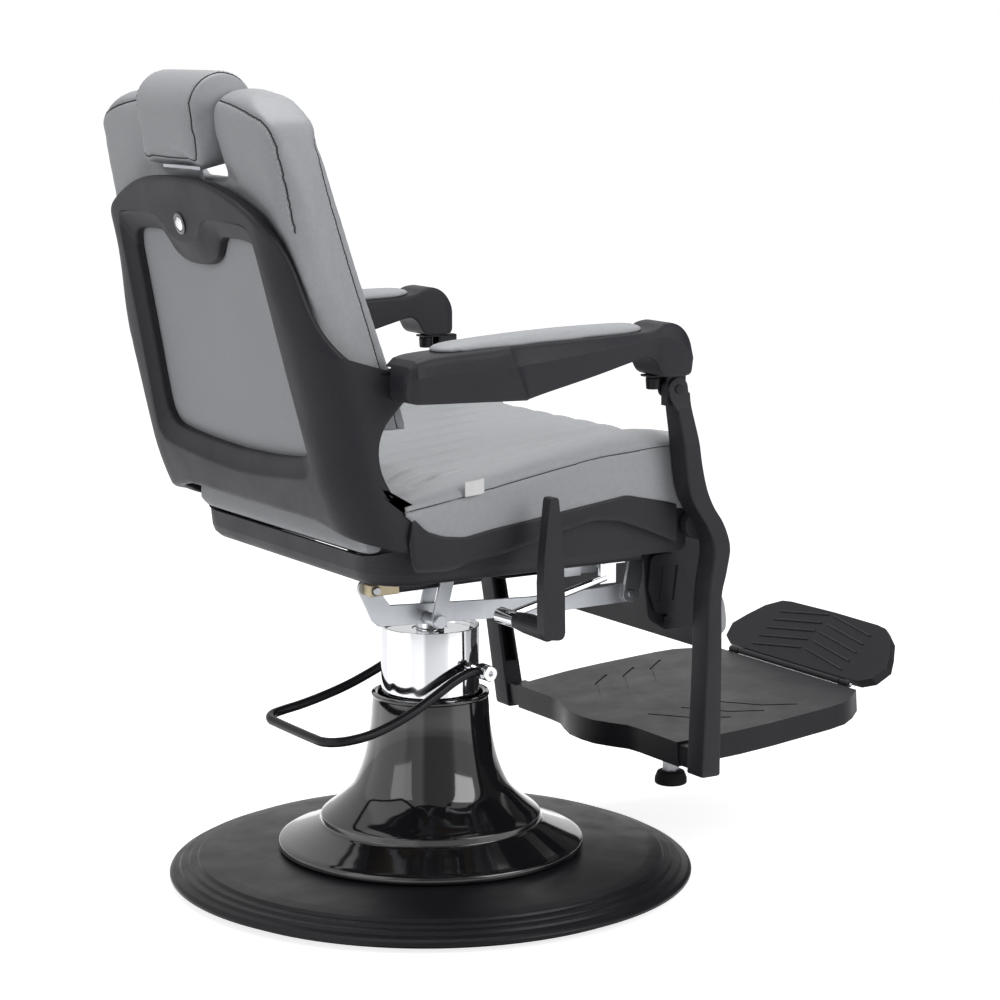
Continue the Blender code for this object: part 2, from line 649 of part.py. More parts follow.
    shell = shell_block("seat_shell", 0.0, SHELL_BOTTOM, False)
    cut(shell, shell_block("shell_hollow", SHELL_WALL, SHELL_BOTTOM + SHELL_WALL, True))
    rim = [(-0.40, 0.4945), (-0.200, 0.5300), (-0.100, 0.540), (0.000, 0.531),
           (0.150, 0.512), (0.195, 0.494), (0.217, 0.486), (0.40, 0.486), (0.40, 0.70),
           (-0.40, 0.70)]
    cut(shell, plate("shell_rim_cut", [rim], -0.4, 0.4, ALL_X, cutter=True))
    cut(shell, block("floor_opening", (-0.195, -0.30, 0.40), (0.195, 0.140, 0.470), cutter=True),
        block("front_opening", (-0.249, -0.31, 0.39), (0.249, -0.168, 0.5145), cutter=True))
    for side in (-1, 1):
        low, high = sorted((side * 0.245, side * 0.270))
        cut(shell, bore_x("shell_back_bore", BACK_PIVOT_Y, BACK_PIVOT_Z, PIN_RADIUS + 0.0010,
                          low, high),
            bore_x("shell_leg_bore", POST_PIVOT_Y, POST_PIVOT_Z, TUBE_RADIUS + 0.0010, low, high))

    board_low = FLOOR_TOP + RAIL_HEIGHT + FIT
    board_high = board_low + BOARD_THICKNESS
    board = [(-0.225, -0.205, 0.02), (0.225, -0.205, 0.02), (0.225, 0.195, 0.03),
             (-0.225, 0.195, 0.03)]
    plate("seat_board", [rounded(board)], board_low, board_high, ALL_Z, BOARD)

    low = board_high + FIT
    side_view = [(CUSHION_REAR - 0.006, 0.488), (CUSHION_REAR, 0.496), (CUSHION_REAR, 0.520),
                 (CUSHION_REAR - 0.014, 0.534), (0.130, 0.572), (0.000, 0.586), (-0.190, 0.602),
                 (-0.235, 0.596), (-0.256, 0.578), (CUSHION_FRONT, 0.552), (-0.258, 0.526),
                 (-0.245, low), (0.1985, low), (0.1985, 0.488)]
    cushion = plate("seat_cushion", [side_view], -CUSHION_HALF_WIDTH, CUSHION_HALF_WIDTH, ALL_X,
                    LEATHER)
    tray = shell_block("tray_fit", -0.0010, SHELL_BOTTOM, True)
    cut(tray, shell_block("tray_hollow", SHELL_WALL + 0.0004, SHELL_BOTTOM + SHELL_WALL, True),
        plate("tray_rim_cut", [[(y, z + 0.0004) for y, z in rim]], -0.4, 0.4, ALL_X, cutter=True))
    cut(cushion, tray)
    for side in (-1, 1):
        low_x, high_x = sorted((side * 0.2450, side * 0.30))
        lug_low, lug_high = sorted((side * 0.2345, side * 0.30))
        cut(cushion, block("cushion_side_cut", (low_x, -0.30, 0.40), (high_x, 0.125, 0.5435),
                           cutter=True),
            block("cushion_lug_cut", (lug_low, 0.120, 0.40), (lug_high, 0.30, 0.5435), cutter=True))
    cut(cushion, block("cushion_rear_cut", (-0.30, 0.214, 0.40), (0.30, 0.30, 0.4865),
                       cutter=True))

    for side, word in ((-1, "right"), (1, "left")):
        inner = SIDE_PLATE_X - FIT
        wall_out = SHELL_HALF_WIDTH + 0.0005
        web_in = BACK_HALF_LOW - WEB_THICKNESS - FIT
        profile = [(0, inner - 0.004), (0.010, inner - 0.004), (0.010, inner),
                   (PIN_RADIUS, inner), (PIN_RADIUS, wall_out), (0.016, wall_out),
                   (0.016, web_in), (PIN_RADIUS, web_in), (PIN_RADIUS, BACK_HALF_LOW + FIT),
                   (0.015, BACK_HALF_LOW + FIT), (0.015, BACK_HALF_LOW + 0.0025),
                   (0.014, BACK_HALF_LOW + 0.0035), (0, BACK_HALF_LOW + 0.0035)]
        pin = turned("recline_pin_" + word, profile[::-1], STEEL, steps=16, axis="X",
                     at=(0, BACK_PIVOT_Y, BACK_PIVOT_Z))
        if side < 0:
            pin.rotation_euler = (0, -math.pi / 2, 0)

    lock = block("recline_lock", (-RAIL_X - 0.022, -0.185, 0.412),
                 (-RAIL_X + 0.022, -0.125, FLOOR_TOP - FIT), STEEL)
    join(lock, rod("lock_barrel_shape", (-RAIL_X, -0.200, 0.424), (-RAIL_X, -0.110, 0.424), 0.014,
                   cutter=True, steps=16))
    soften(lock, 0.002, 1)


# ------------------------------------------------------------- straps and bar
def strap_outline():
    """A straight flat strap with round ends, from its top pin to its bolt."""
    lean = math.degrees(math.atan2(STRAP_Z, STRAP_Y))
    top = arc(STRAP_TOP_Y, STRAP_TOP_Z, 0.0095, lean + 90, lean + 270)
    foot = arc(STRAP_BOLT_Y, STRAP_BOLT_Z, 0.0095, lean - 90, lean + 90)
    return top + foot


def circle(y, z, radius, count=16):
    return arc(y, z, radius, 0, 360 - 360 / count, count - 1)


def build_linkage():
    straps = empty("strap_axis", (0, STRAP_TOP_Y, STRAP_TOP_Z))
    pin_hole = 0.005 + HOLE_FIT
    made = []
    for word, x in (("right", STRAP_NEAR_X), ("left", STRAP_FAR_X)):
        outlines = [strap_outline(), circle(STRAP_TOP_Y, STRAP_TOP_Z, pin_hole),
                    circle(STRAP_BOLT_Y, STRAP_BOLT_Z, pin_hole)]
        made.append(plate("bar_strap_" + word, outlines, x - STRAP_THICKNESS / 2,
                          x + STRAP_THICKNESS / 2, ALL_X, STEEL))
    near = STRAP_NEAR_X - STRAP_THICKNESS / 2
    far = STRAP_FAR_X + STRAP_THICKNESS / 2
    spacer_far = BAR_X - BAR_THICKNESS / 2 - FIT
    bolt = turned("strap_bolt", [(0, near - 0.0065), (0.0085, near - 0.0065),
                                 (0.0085, near - FIT), (0.005, near - FIT),
                                 (0.005, near + STRAP_THICKNESS + FIT),
                                 (0.0080, near + STRAP_THICKNESS + FIT), (0.0080, spacer_far - 0.0003),
                                 (0.005, spacer_far - 0.0003), (0.005, far + FIT),
                                 (0.0085, far + FIT), (0.0085, far + 0.005), (0, far + 0.005)][::-1],
                  STEEL, steps=16, axis="X", at=(0, STRAP_BOLT_Y, STRAP_BOLT_Z))
    hang(straps, bolt, *made)

    bar_pivot = empty("bar_axis", (0, BAR_PIN_Y, BAR_PIN_Z))
    half = BAR_HEIGHT / 2
    outline = (arc(BAR_PIN_Y, BAR_PIN_Z, half, 95, 270)
               + [(-0.060, 0.3730), (0.060, 0.3775), (0.150, 0.3815)]
               + [(0.1640, 0.3825), (0.1730, 0.3900)]
               + arc(HOOK_Y + 0.002, HOOK_Z, 0.0125, -8, 165)
               + [(0.1560, 0.4180), (0.1480, 0.4080), (0.060, 0.4030), (-0.060, 0.3970)])
    bar = plate("link_bar", [outline, circle(BAR_PIN_Y, BAR_PIN_Z, pin_hole),
                             circle(HOOK_Y, HOOK_Z, pin_hole),
                             circle(STRAP_BOLT_Y, STRAP_BOLT_Z, 0.0062)],
                BAR_X - BAR_THICKNESS / 2, BAR_X + BAR_THICKNESS / 2, ALL_X, STEEL)
    hook_bolt = rod("hook_bolt", (SPRING_X - 0.013, HOOK_Y, HOOK_Z),
                    (BAR_X + BAR_THICKNESS / 2 + 0.005, HOOK_Y, HOOK_Z), 0.005, STEEL)
    hang(bar_pivot, bar, hook_bolt)

    spring_axis = empty("spring_axis", (0, HOOK_Y, HOOK_Z))
    run = Vector((0, SPRING_FRONT_Y - HOOK_Y, SPRING_FRONT_Z - HOOK_Z))
    along = run.normalized()
    tilt = math.atan2(-along.z, -along.y)
    hook = Vector((SPRING_X, HOOK_Y, HOOK_Z))
    clevis_x = (SPRING_X - 0.0085, BAR_X - BAR_THICKNESS / 2 - FIT)
    clevis = block("gas_spring_clevis", (clevis_x[0], HOOK_Y - 0.034, HOOK_Z - 0.0075),
                   (clevis_x[1], HOOK_Y + 0.008, HOOK_Z + 0.0075), BRASS, tilt=tilt,
                   about=(HOOK_Y, HOOK_Z))
    cut(clevis, bore_x("clevis_bore", HOOK_Y, HOOK_Z, pin_hole, -0.2, -0.1))
    soften(clevis, 0.0012, 1)
    start = hook + along * (0.034 + FIT)
    stop = hook + along * 0.155
    cylinder = rod("gas_spring_cylinder", start, stop, SPRING_RADIUS, SATIN_BLACK, steps=20)
    cut(cylinder, rod("rod_bore", hook + along * 0.040, hook + along * 0.17,
                      SPRING_ROD_RADIUS + HOLE_FIT, cutter=True, steps=16))
    front = hook + run
    piston = rod("gas_spring_rod", hook + along * 0.136, front - along * 0.004, SPRING_ROD_RADIUS,
                 CHROME, steps=16)
    eye = rod("rod_eye_shape", front - Vector((0.005, 0, 0)), front + Vector((0.005, 0, 0)), 0.008,
              cutter=True)
    join(piston, eye)
    cut(piston, bore_x("rod_eye_bore", front.y, front.z, 0.004, -0.2, -0.1))
    hang(spring_axis, clevis, cylinder, piston)


# ---------------------------------------------------------------------- back
def back_half_width(z):
    """Half width of the back frame: narrow behind the shoulders, wide at the arms."""
    t = min(1.0, max(0.0, (0.86 - z) / 0.14))
    return BACK_HALF_TOP + (BACK_HALF_LOW - BACK_HALF_TOP) * t * t * (3 - 2 * t)


def wrap_reach(z):
    """Path length from the middle to where the straight side begins."""
    return back_half_width(z) - BACK_CORNER + BACK_CORNER * math.pi / 2


def side_spot(y, z):
    """A point of the frame's side, as (path length, height)."""
    return (wrap_reach(z) + back_face(z) - BACK_CORNER - y, z)


def wrap(s, z, inward):
    """Bend a flat point (path length, height) round the back, sunk by inward."""
    side = -1 if s < 0 else 1
    run = abs(s)
    flat = back_half_width(z) - BACK_CORNER
    face = back_face(z)
    if run <= flat:
        return Vector((side * run, face - inward, z))
    turn = (run - flat) / BACK_CORNER
    if turn <= math.pi / 2:
        radius = BACK_CORNER - inward
        return Vector((side * (flat + radius * math.sin(turn)),
                       face - BACK_CORNER + radius * math.cos(turn), z))
    straight = run - flat - BACK_CORNER * math.pi / 2
    return Vector((side * (flat + BACK_CORNER - inward), face - BACK_CORNER - straight, z))


def frame_depth(s, z):
    """Wall of the back frame: a deep ring behind, thinner webs at the sides."""
    t = min(1.0, max(0.0, (abs(s) - 0.200) / 0.045))
    return RING_DEPTH + (WEB_THICKNESS - RING_DEPTH) * t * t * (3 - 2 * t)


def frame_outline():
    """Half the frame's outline in (path length, height), from the top middle round."""
    top = [(0.0, BACK_FRAME_TOP), (0.060, 0.941), (0.110, 0.934), (0.165, 0.917),
           (0.205, 0.898), (0.232, 0.876)]
    side = [side_spot(0.330, 0.852), side_spot(0.311, 0.795), side_spot(0.293, 0.760),
            side_spot(0.262, 0.730), side_spot(0.228, 0.7235)]
    lug = [side_spot(y, z) for y, z in arc(ARM_REAR_Y, ARM_REAR_Z, LUG_RADIUS, 80, 235, 7)]
    hollow = [side_spot(y, z) for y, z in [(0.207, 0.668), (0.222, 0.650), (0.229, 0.627),
                                           (0.226, 0.600), (0.212, 0.572), (0.192, 0.549)]]
    foot = [side_spot(y, z) for y, z in arc(BACK_PIVOT_Y, BACK_PIVOT_Z, 0.024, 60, 285, 9)]
    low = [side_spot(0.200, 0.497), side_spot(0.232, 0.507)]
    bottom = [(0.190, 0.5260), (0.150, 0.5290), (0.0, BACK_FRAME_BOTTOM)]
    return top + side + lug + hollow + foot + low + bottom


def window_outline():
    """Half the window in the frame, in (path length, height), round the button's tongue."""
    tongue = [(0.0, 0.8615), (0.022, 0.8625), (0.040, 0.8690), (0.055, 0.8800), (0.072, 0.8900)]
    rest = rounded([(0.0, 0.888, 0), (0.176, 0.888, 0.034), (0.196, 0.612, 0.036),
                    (0.0, 0.612, 0)], 6)[1:-1]
    floor = [(0.100, 0.606), (0.0, 0.604)]
    return tongue + rest + floor


def mirrored(half):
    """A closed outline from a half whose ends lie on the middle line."""
    return half + [(-x, y) for x, y in half[::-1] if x > 1e-6]


def wrapped(name, outlines, outside, extra):
    """A flat sheet cut to outlines, then bent round the back as a closed mesh."""
    sheet = bmesh.new()
    bmesh.ops.create_grid(sheet, x_segments=SHEET_COLUMNS, y_segments=SHEET_ROWS, size=0.5)
    bmesh.ops.scale(sheet, vec=(2 * SHEET_REACH, SHEET_TOP - SHEET_BOTTOM, 1), verts=sheet.verts)
    bmesh.ops.translate(sheet, vec=(0, (SHEET_TOP + SHEET_BOTTOM) / 2, 0), verts=sheet.verts)
    solid = bmesh.ops.extrude_face_region(sheet, geom=sheet.faces[:])
    raised = [item for item in solid["geom"] if isinstance(item, bmesh.types.BMVert)]
    bmesh.ops.translate(sheet, vec=(0, 0, 1), verts=raised)
    bmesh.ops.recalc_face_normals(sheet, faces=sheet.faces)
    mesh = bpy.data.meshes.new(name + "_sheet")
    sheet.to_mesh(mesh)
    sheet.free()
    blank = place(mesh, name + "_sheet", PLASTIC, cutter=True)
    flat = plate(name + "_flat", outlines, -0.4, 1.4, ALL_Z, cutter=True)
    cut(blank, flat, operation="INTERSECT")
    mesh = baked(blank)
    bpy.data.objects.remove(flat, do_unlink=True)
    for vert in mesh.vertices:
        s, z, outer = vert.co
        deep = frame_depth(s, z) + extra
        vert.co = wrap(s, z, deep if outer < 0.5 else -outside)
    bent = bmesh.new()
    bent.from_mesh(mesh)
    bmesh.ops.recalc_face_normals(bent, faces=bent.faces)
    bent.to_mesh(mesh)
    bent.free()
    return mesh


def build_back():
    mesh = wrapped("back_frame", [mirrored(frame_outline()), mirrored(window_outline())], 0.0, 0.0)
    frame = place(mesh, "back_frame", PLASTIC)
    tools = []
    for side in (-1, 1):
        low, high = sorted((side * 0.250, side * 0.300))
        tools.append(bore_x("lug_bore", ARM_REAR_Y, ARM_REAR_Z, PIN_RADIUS + HOLE_FIT, low, high))
        tools.append(bore_x("foot_bore", BACK_PIVOT_Y, BACK_PIVOT_Z, PIN_RADIUS + HOLE_FIT,
                            low, high))
    face = Vector((0, back_face(BUTTON_Z), BUTTON_Z))
    out = Vector((0, math.cos(BACK_ANGLE), -math.sin(BACK_ANGLE)))
    bezel_radius = 0.0138
    tools.append(rod("button_bore", face - out * 0.05, face + out * 0.02, bezel_radius + FIT,
                     cutter=True, steps=28))
    cut(frame, *tools)

    normal = (Vector((1, 0, 0)), Vector((0, math.sin(BACK_ANGLE), math.cos(BACK_ANGLE))),
              Vector((0, -math.cos(BACK_ANGLE), math.sin(BACK_ANGLE))))

    def leaning(x, z):
        """A point of the frame's rear plane in the plane's own axes."""
        spot = Vector((x, BACK_REF_Y + BACK_SLOPE * (z - BACK_REF_Z), z))
        return (spot.dot(normal[0]), spot.dot(normal[1]))

    depth = Vector((0, BACK_REF_Y, BACK_REF_Z)).dot(normal[2])
    ring = RING_DEPTH * math.cos(BACK_ANGLE)
    sunk = depth + ring + FIT
    shape = [leaning(x, z) for x, z in ((-0.184, 0.896), (0.184, 0.896), (0.206, 0.604),
                                        (-0.206, 0.604))]
    panel = [rounded([(x, y, 0.03) for x, y in shape], 5)]
    plate("back_panel", panel, sunk, sunk + 0.004, normal, LEATHER)

    turned("button_bezel", [(BUTTON_RADIUS + FIT, 0.001), (bezel_radius, 0.001),
                            (bezel_radius, -0.012), (BUTTON_RADIUS + FIT, -0.012)], SATIN_BLACK,
           steps=28, closed=True, axis="BACK", at=face)
    button = turned("headrest_button", [(0, 0.0035), (BUTTON_RADIUS * 0.7, 0.0032),
                                        (BUTTON_RADIUS, 0.0015), (BUTTON_RADIUS, -0.014),
                                        (0, -0.014)], CHROME, steps=28, axis="BACK", at=face)
    hang(empty("button_axis", face), button)

    front = [(0.2900, 0.9920), (0.2860, 1.0200), (0.2900, 1.0430), (0.3060, BACK_CUSHION_TOP),
             (0.3300, 1.0515), (0.3490, 1.0420)]
    low_front = [(0.1690, 0.6480), (0.1600, 0.6280), (0.1640, BACK_CUSHION_BOTTOM)]
    rear = [(0.2480, BACK_CUSHION_BOTTOM), (0.2655, 0.6120), (0.3560, 1.0110),
            (0.3565, 1.0290)]
    side_view = front[::-1] + low_front + rear
    cushion = plate("back_cushion", [side_view], -0.30, 0.30, ALL_X, LEATHER)
    right = rounded([(BACK_CUSHION_HALF - 0.002, BACK_CUSHION_BOTTOM - 0.01, 0.02),
                     (BACK_CUSHION_HALF, 0.80, 0.0), (BACK_CUSHION_HALF, 0.960, 0.0),
                     (0.2440, 1.0130, 0.026), (0.1850, 1.0440, 0.020),
                     (0.1250, BACK_CUSHION_TOP + 0.001, 0.014),
                     (NOTCH_HALF, BACK_CUSHION_TOP + 0.001, 0.010),
                     (NOTCH_HALF, NOTCH_BOTTOM, 0.0)])
    form = plate("back_cushion_form", [right + [(-x, y) for x, y in right[::-1]]], -0.5, 0.2,
                 ALL_Y, cutter=True)
    cut(cushion, form, operation="INTERSECT")
    soften(cushion, 0.009, 2, 55)
    pocket_face = BACK_REF_Y - 0.0400
    pocket = block("guide_pocket", (-0.036, pocket_face, 0.762), (0.036, pocket_face + 0.10, 1.1),
                   cutter=True, tilt=-BACK_ANGLE, about=(BACK_REF_Y, BACK_REF_Z))
    margin = [(x * GROWN, FRAME_MIDDLE_Z + (z - FRAME_MIDDLE_Z) * GROWN)
              for x, z in mirrored(frame_outline())]
    seat_of_frame = place(wrapped("frame_fit", [margin], 0.040, 0.0016), "frame_fit", None,
                          cutter=True)
    cut(cushion, pocket, seat_of_frame)

    guide_rear = BACK_REF_Y - ring - 0.004 - 2 * FIT
    guide = block("headrest_guide", (-0.034, guide_rear - 0.0100, 0.770),
                  (0.034, guide_rear, 0.916), STEEL, tilt=-BACK_ANGLE,
                  about=(BACK_REF_Y, BACK_REF_Z))
    slot = block("guide_slot", (-0.0253, guide_rear - 0.0085, 0.70),
                 (0.0253, guide_rear - 0.0018, 1.00), cutter=True, tilt=-BACK_ANGLE,
                 about=(BACK_REF_Y, BACK_REF_Z))
    cut(guide, slot)
    post_y = guide_rear - 0.0052
    lean = {"tilt": -BACK_ANGLE, "about": (BACK_REF_Y, BACK_REF_Z)}
    post = block("headrest_post", (-0.025, post_y - 0.0030, 0.800), (0.025, post_y + 0.0030, 0.9580),
                 STEEL, **lean)
    join(post, block("carrier_shape", (-0.052, BACK_REF_Y - 0.080, 0.9553),
                     (0.052, BACK_REF_Y - 0.018, 0.9602), cutter=True, **lean))
    crown = arc(0.3340, 1.0270, HEADREST_TOP_RADIUS, 8, 180, 12)
    rest = plate("headrest_cushion", [[(0.3645, 0.9532)] + crown + [(0.2760, 0.9733)]],
                 -0.15, 0.15, ALL_X, LEATHER)
    face = rounded([(HEADREST_HALF - 0.002, 0.93, 0.0), (HEADREST_HALF, 1.10, 0.010),
                    (-HEADREST_HALF, 1.10, 0.010), (0.002 - HEADREST_HALF, 0.93, 0.0)])
    cut(rest, plate("headrest_form", [face], -0.5, 0.2, ALL_Y, cutter=True),
        operation="INTERSECT")
    soften(rest, 0.007, 2, 55)


# ---------------------------------------------------------------------- arms
def arm_outline():
    """Side view of an arm: level top, belly behind and a boss over the post."""
    return rounded([(0.2360, 0.6790, 0.010), (0.2400, 0.7340, 0.016), (0.2050, 0.7375, 0.020),
                    (0.0000, 0.7460, 0.0), (-0.1400, 0.7500, 0.004), (-0.1480, 0.7620, 0.004),
                    (-0.1740, 0.7600, 0.018), (-0.2000, 0.7200, 0.020), (-0.2000, 0.6930, 0.010),
                    (-0.1500, 0.6930, 0.006), (-0.1400, 0.7050, 0.010), (-0.1050, 0.7130, 0.020),
                    (0.0100, 0.6870, 0.030), (0.0620, 0.6765, 0.020)], 4)


def build_arms():
    for side, word in ((-1, "right"), (1, "left")):
        span = sorted((side * ARM_INNER, side * ARM_OUTER))
        housing = plate("arm_housing_" + word, [arm_outline()], *span, ALL_X, PLASTIC)
        soften(housing, 0.006, 2, 50)
        lug_low, lug_high = sorted((side * 0.2, side * (BACK_HALF_LOW + 0.0015)))
        cut(housing, block("arm_lug_cut", (lug_low, ARM_REAR_Y - LUG_RADIUS - 0.004, 0.6),
                           (lug_high, 0.35, 0.85), cutter=True))
        pin_in = BACK_HALF_LOW - WEB_THICKNESS - FIT
        cut(housing, bore_x("arm_pin_bore", ARM_REAR_Y, ARM_REAR_Z, PIN_RADIUS + HOLE_FIT,
                            *sorted((side * 0.25, side * 0.3003))))
        turned_pin = rod("arm_rear_pin_" + word, (side * (pin_in - 0.004), ARM_REAR_Y, ARM_REAR_Z),
                         (side * 0.3000, ARM_REAR_Y, ARM_REAR_Z), PIN_RADIUS, STEEL)
        head = rod("pin_head_shape", (side * (pin_in - 0.004), ARM_REAR_Y, ARM_REAR_Z),
                   (side * pin_in, ARM_REAR_Y, ARM_REAR_Z), 0.010, cutter=True)
        join(turned_pin, head)

        middle = side * (ARM_INNER + ARM_OUTER) / 2
        pad_low = [(ARM_PAD_REAR, 0.7393), (0.0, 0.7463), (ARM_PAD_FRONT, 0.7503)]
        pad_high = [(y, z + ARM_PAD_THICKNESS) for y, z in pad_low]
        outline = [(y, z + 0.0003) for y, z in pad_low] + pad_high[::-1]
        pad = plate("arm_pad_" + word, [outline], middle - ARM_PAD_HALF, middle + ARM_PAD_HALF,
                    ALL_X, LEATHER)
        soften(pad, 0.004, 2)

        post_middle = POST_INNER + POST_WIDTH / 2
        half = TONGUE_THICKNESS / 2 + 0.0005
        outer = half + CHEEK_THICKNESS
        top = 0.6930 - FIT
        cheek = rounded([(ARM_FRONT_Y + 0.016, top, 0), (ARM_FRONT_Y - 0.013, top, 0),
                         (ARM_FRONT_Y - 0.013, ARM_FRONT_Z - 0.012, 0.011),
                         (ARM_FRONT_Y + 0.013, ARM_FRONT_Z - 0.012, 0.011)])
        low, high = sorted((side * (post_middle - outer), side * (post_middle + outer)))
        bracket = plate("arm_bracket_" + word, [cheek], low, high, ALL_X, SATIN_BLACK)
        gap_low, gap_high = sorted((side * (post_middle - half), side * (post_middle + half)))
        cut(bracket, block("bracket_gap", (gap_low, ARM_FRONT_Y - 0.03, 0.60),
                           (gap_high, ARM_FRONT_Y + 0.03, ARM_FRONT_Z + 0.0118), cutter=True))
        pin = rod("bracket_pin_shape", (low - 0.002, ARM_FRONT_Y, ARM_FRONT_Z),
                  (high + 0.002, ARM_FRONT_Y, ARM_FRONT_Z), 0.005, cutter=True)
        flange = block("bracket_flange_shape", (low, ARM_FRONT_Y - 0.0129, top - 0.0040),
                       (high, KNOB_Y + 0.008, top), cutter=True)
        knob = rod("knob_shape", (side * post_middle, KNOB_Y, top - 0.019),
                   (side * post_middle, KNOB_Y, top - 0.001), 0.0105, cutter=True, steps=20)
        join(bracket, pin, flange, knob)


# -------------------------------------------------------------- leg frame
def post_outline():
    """Side view of a post: a slim blade that steps forward at its knee."""
    rear = [(-0.1780, 0.6560), (-0.1960, 0.6080), (-0.2050, 0.5500), (-0.2150, 0.5230),
            (-0.2370, 0.4900), (-0.2470, POST_KNEE_Z), (-0.2430, 0.4000), (-0.2600, 0.1800),
            (-0.2620, POST_FOOT_Z)]
    front = [(-0.2920, POST_FOOT_Z), (-0.2880, 0.2040), (-0.2720, 0.3440), (-0.2660, 0.3970),
             (-0.2700, 0.4280), (-0.2727, POST_KNEE_Z), (-0.2690, 0.4790), (-0.2600, 0.4990),
             (-0.2460, 0.5190), (-0.2350, 0.5430), (-0.2260, 0.5790), (-0.2200, 0.6080),
             (-0.2040, 0.6560)]
    return rear + front


def lean_in(mesh, side):
    """Shear the lower leg of a post towards the middle."""
    for vert in mesh.vertices:
        drop = max(0.0, POST_KNEE_Z - vert.co.z) / (POST_KNEE_Z - POST_FOOT_Z)
        vert.co.x -= side * POST_LEAN * drop


def foot_outline(inset):
    """Outline of the footplate, in x and distance forward of its rear edge."""
    rear = [(0.0, 0.024 - inset), (0.030, 0.022 - inset), (0.058, 0.013 - inset),
            (0.085, 0.002 - inset), (0.110, -inset)]
    side = [(half - inset, -t * FOOT_LENGTH - inset * (1 - 2 * t)) for t, half in FOOT_SIDE]
    return mirrored(rear + side)


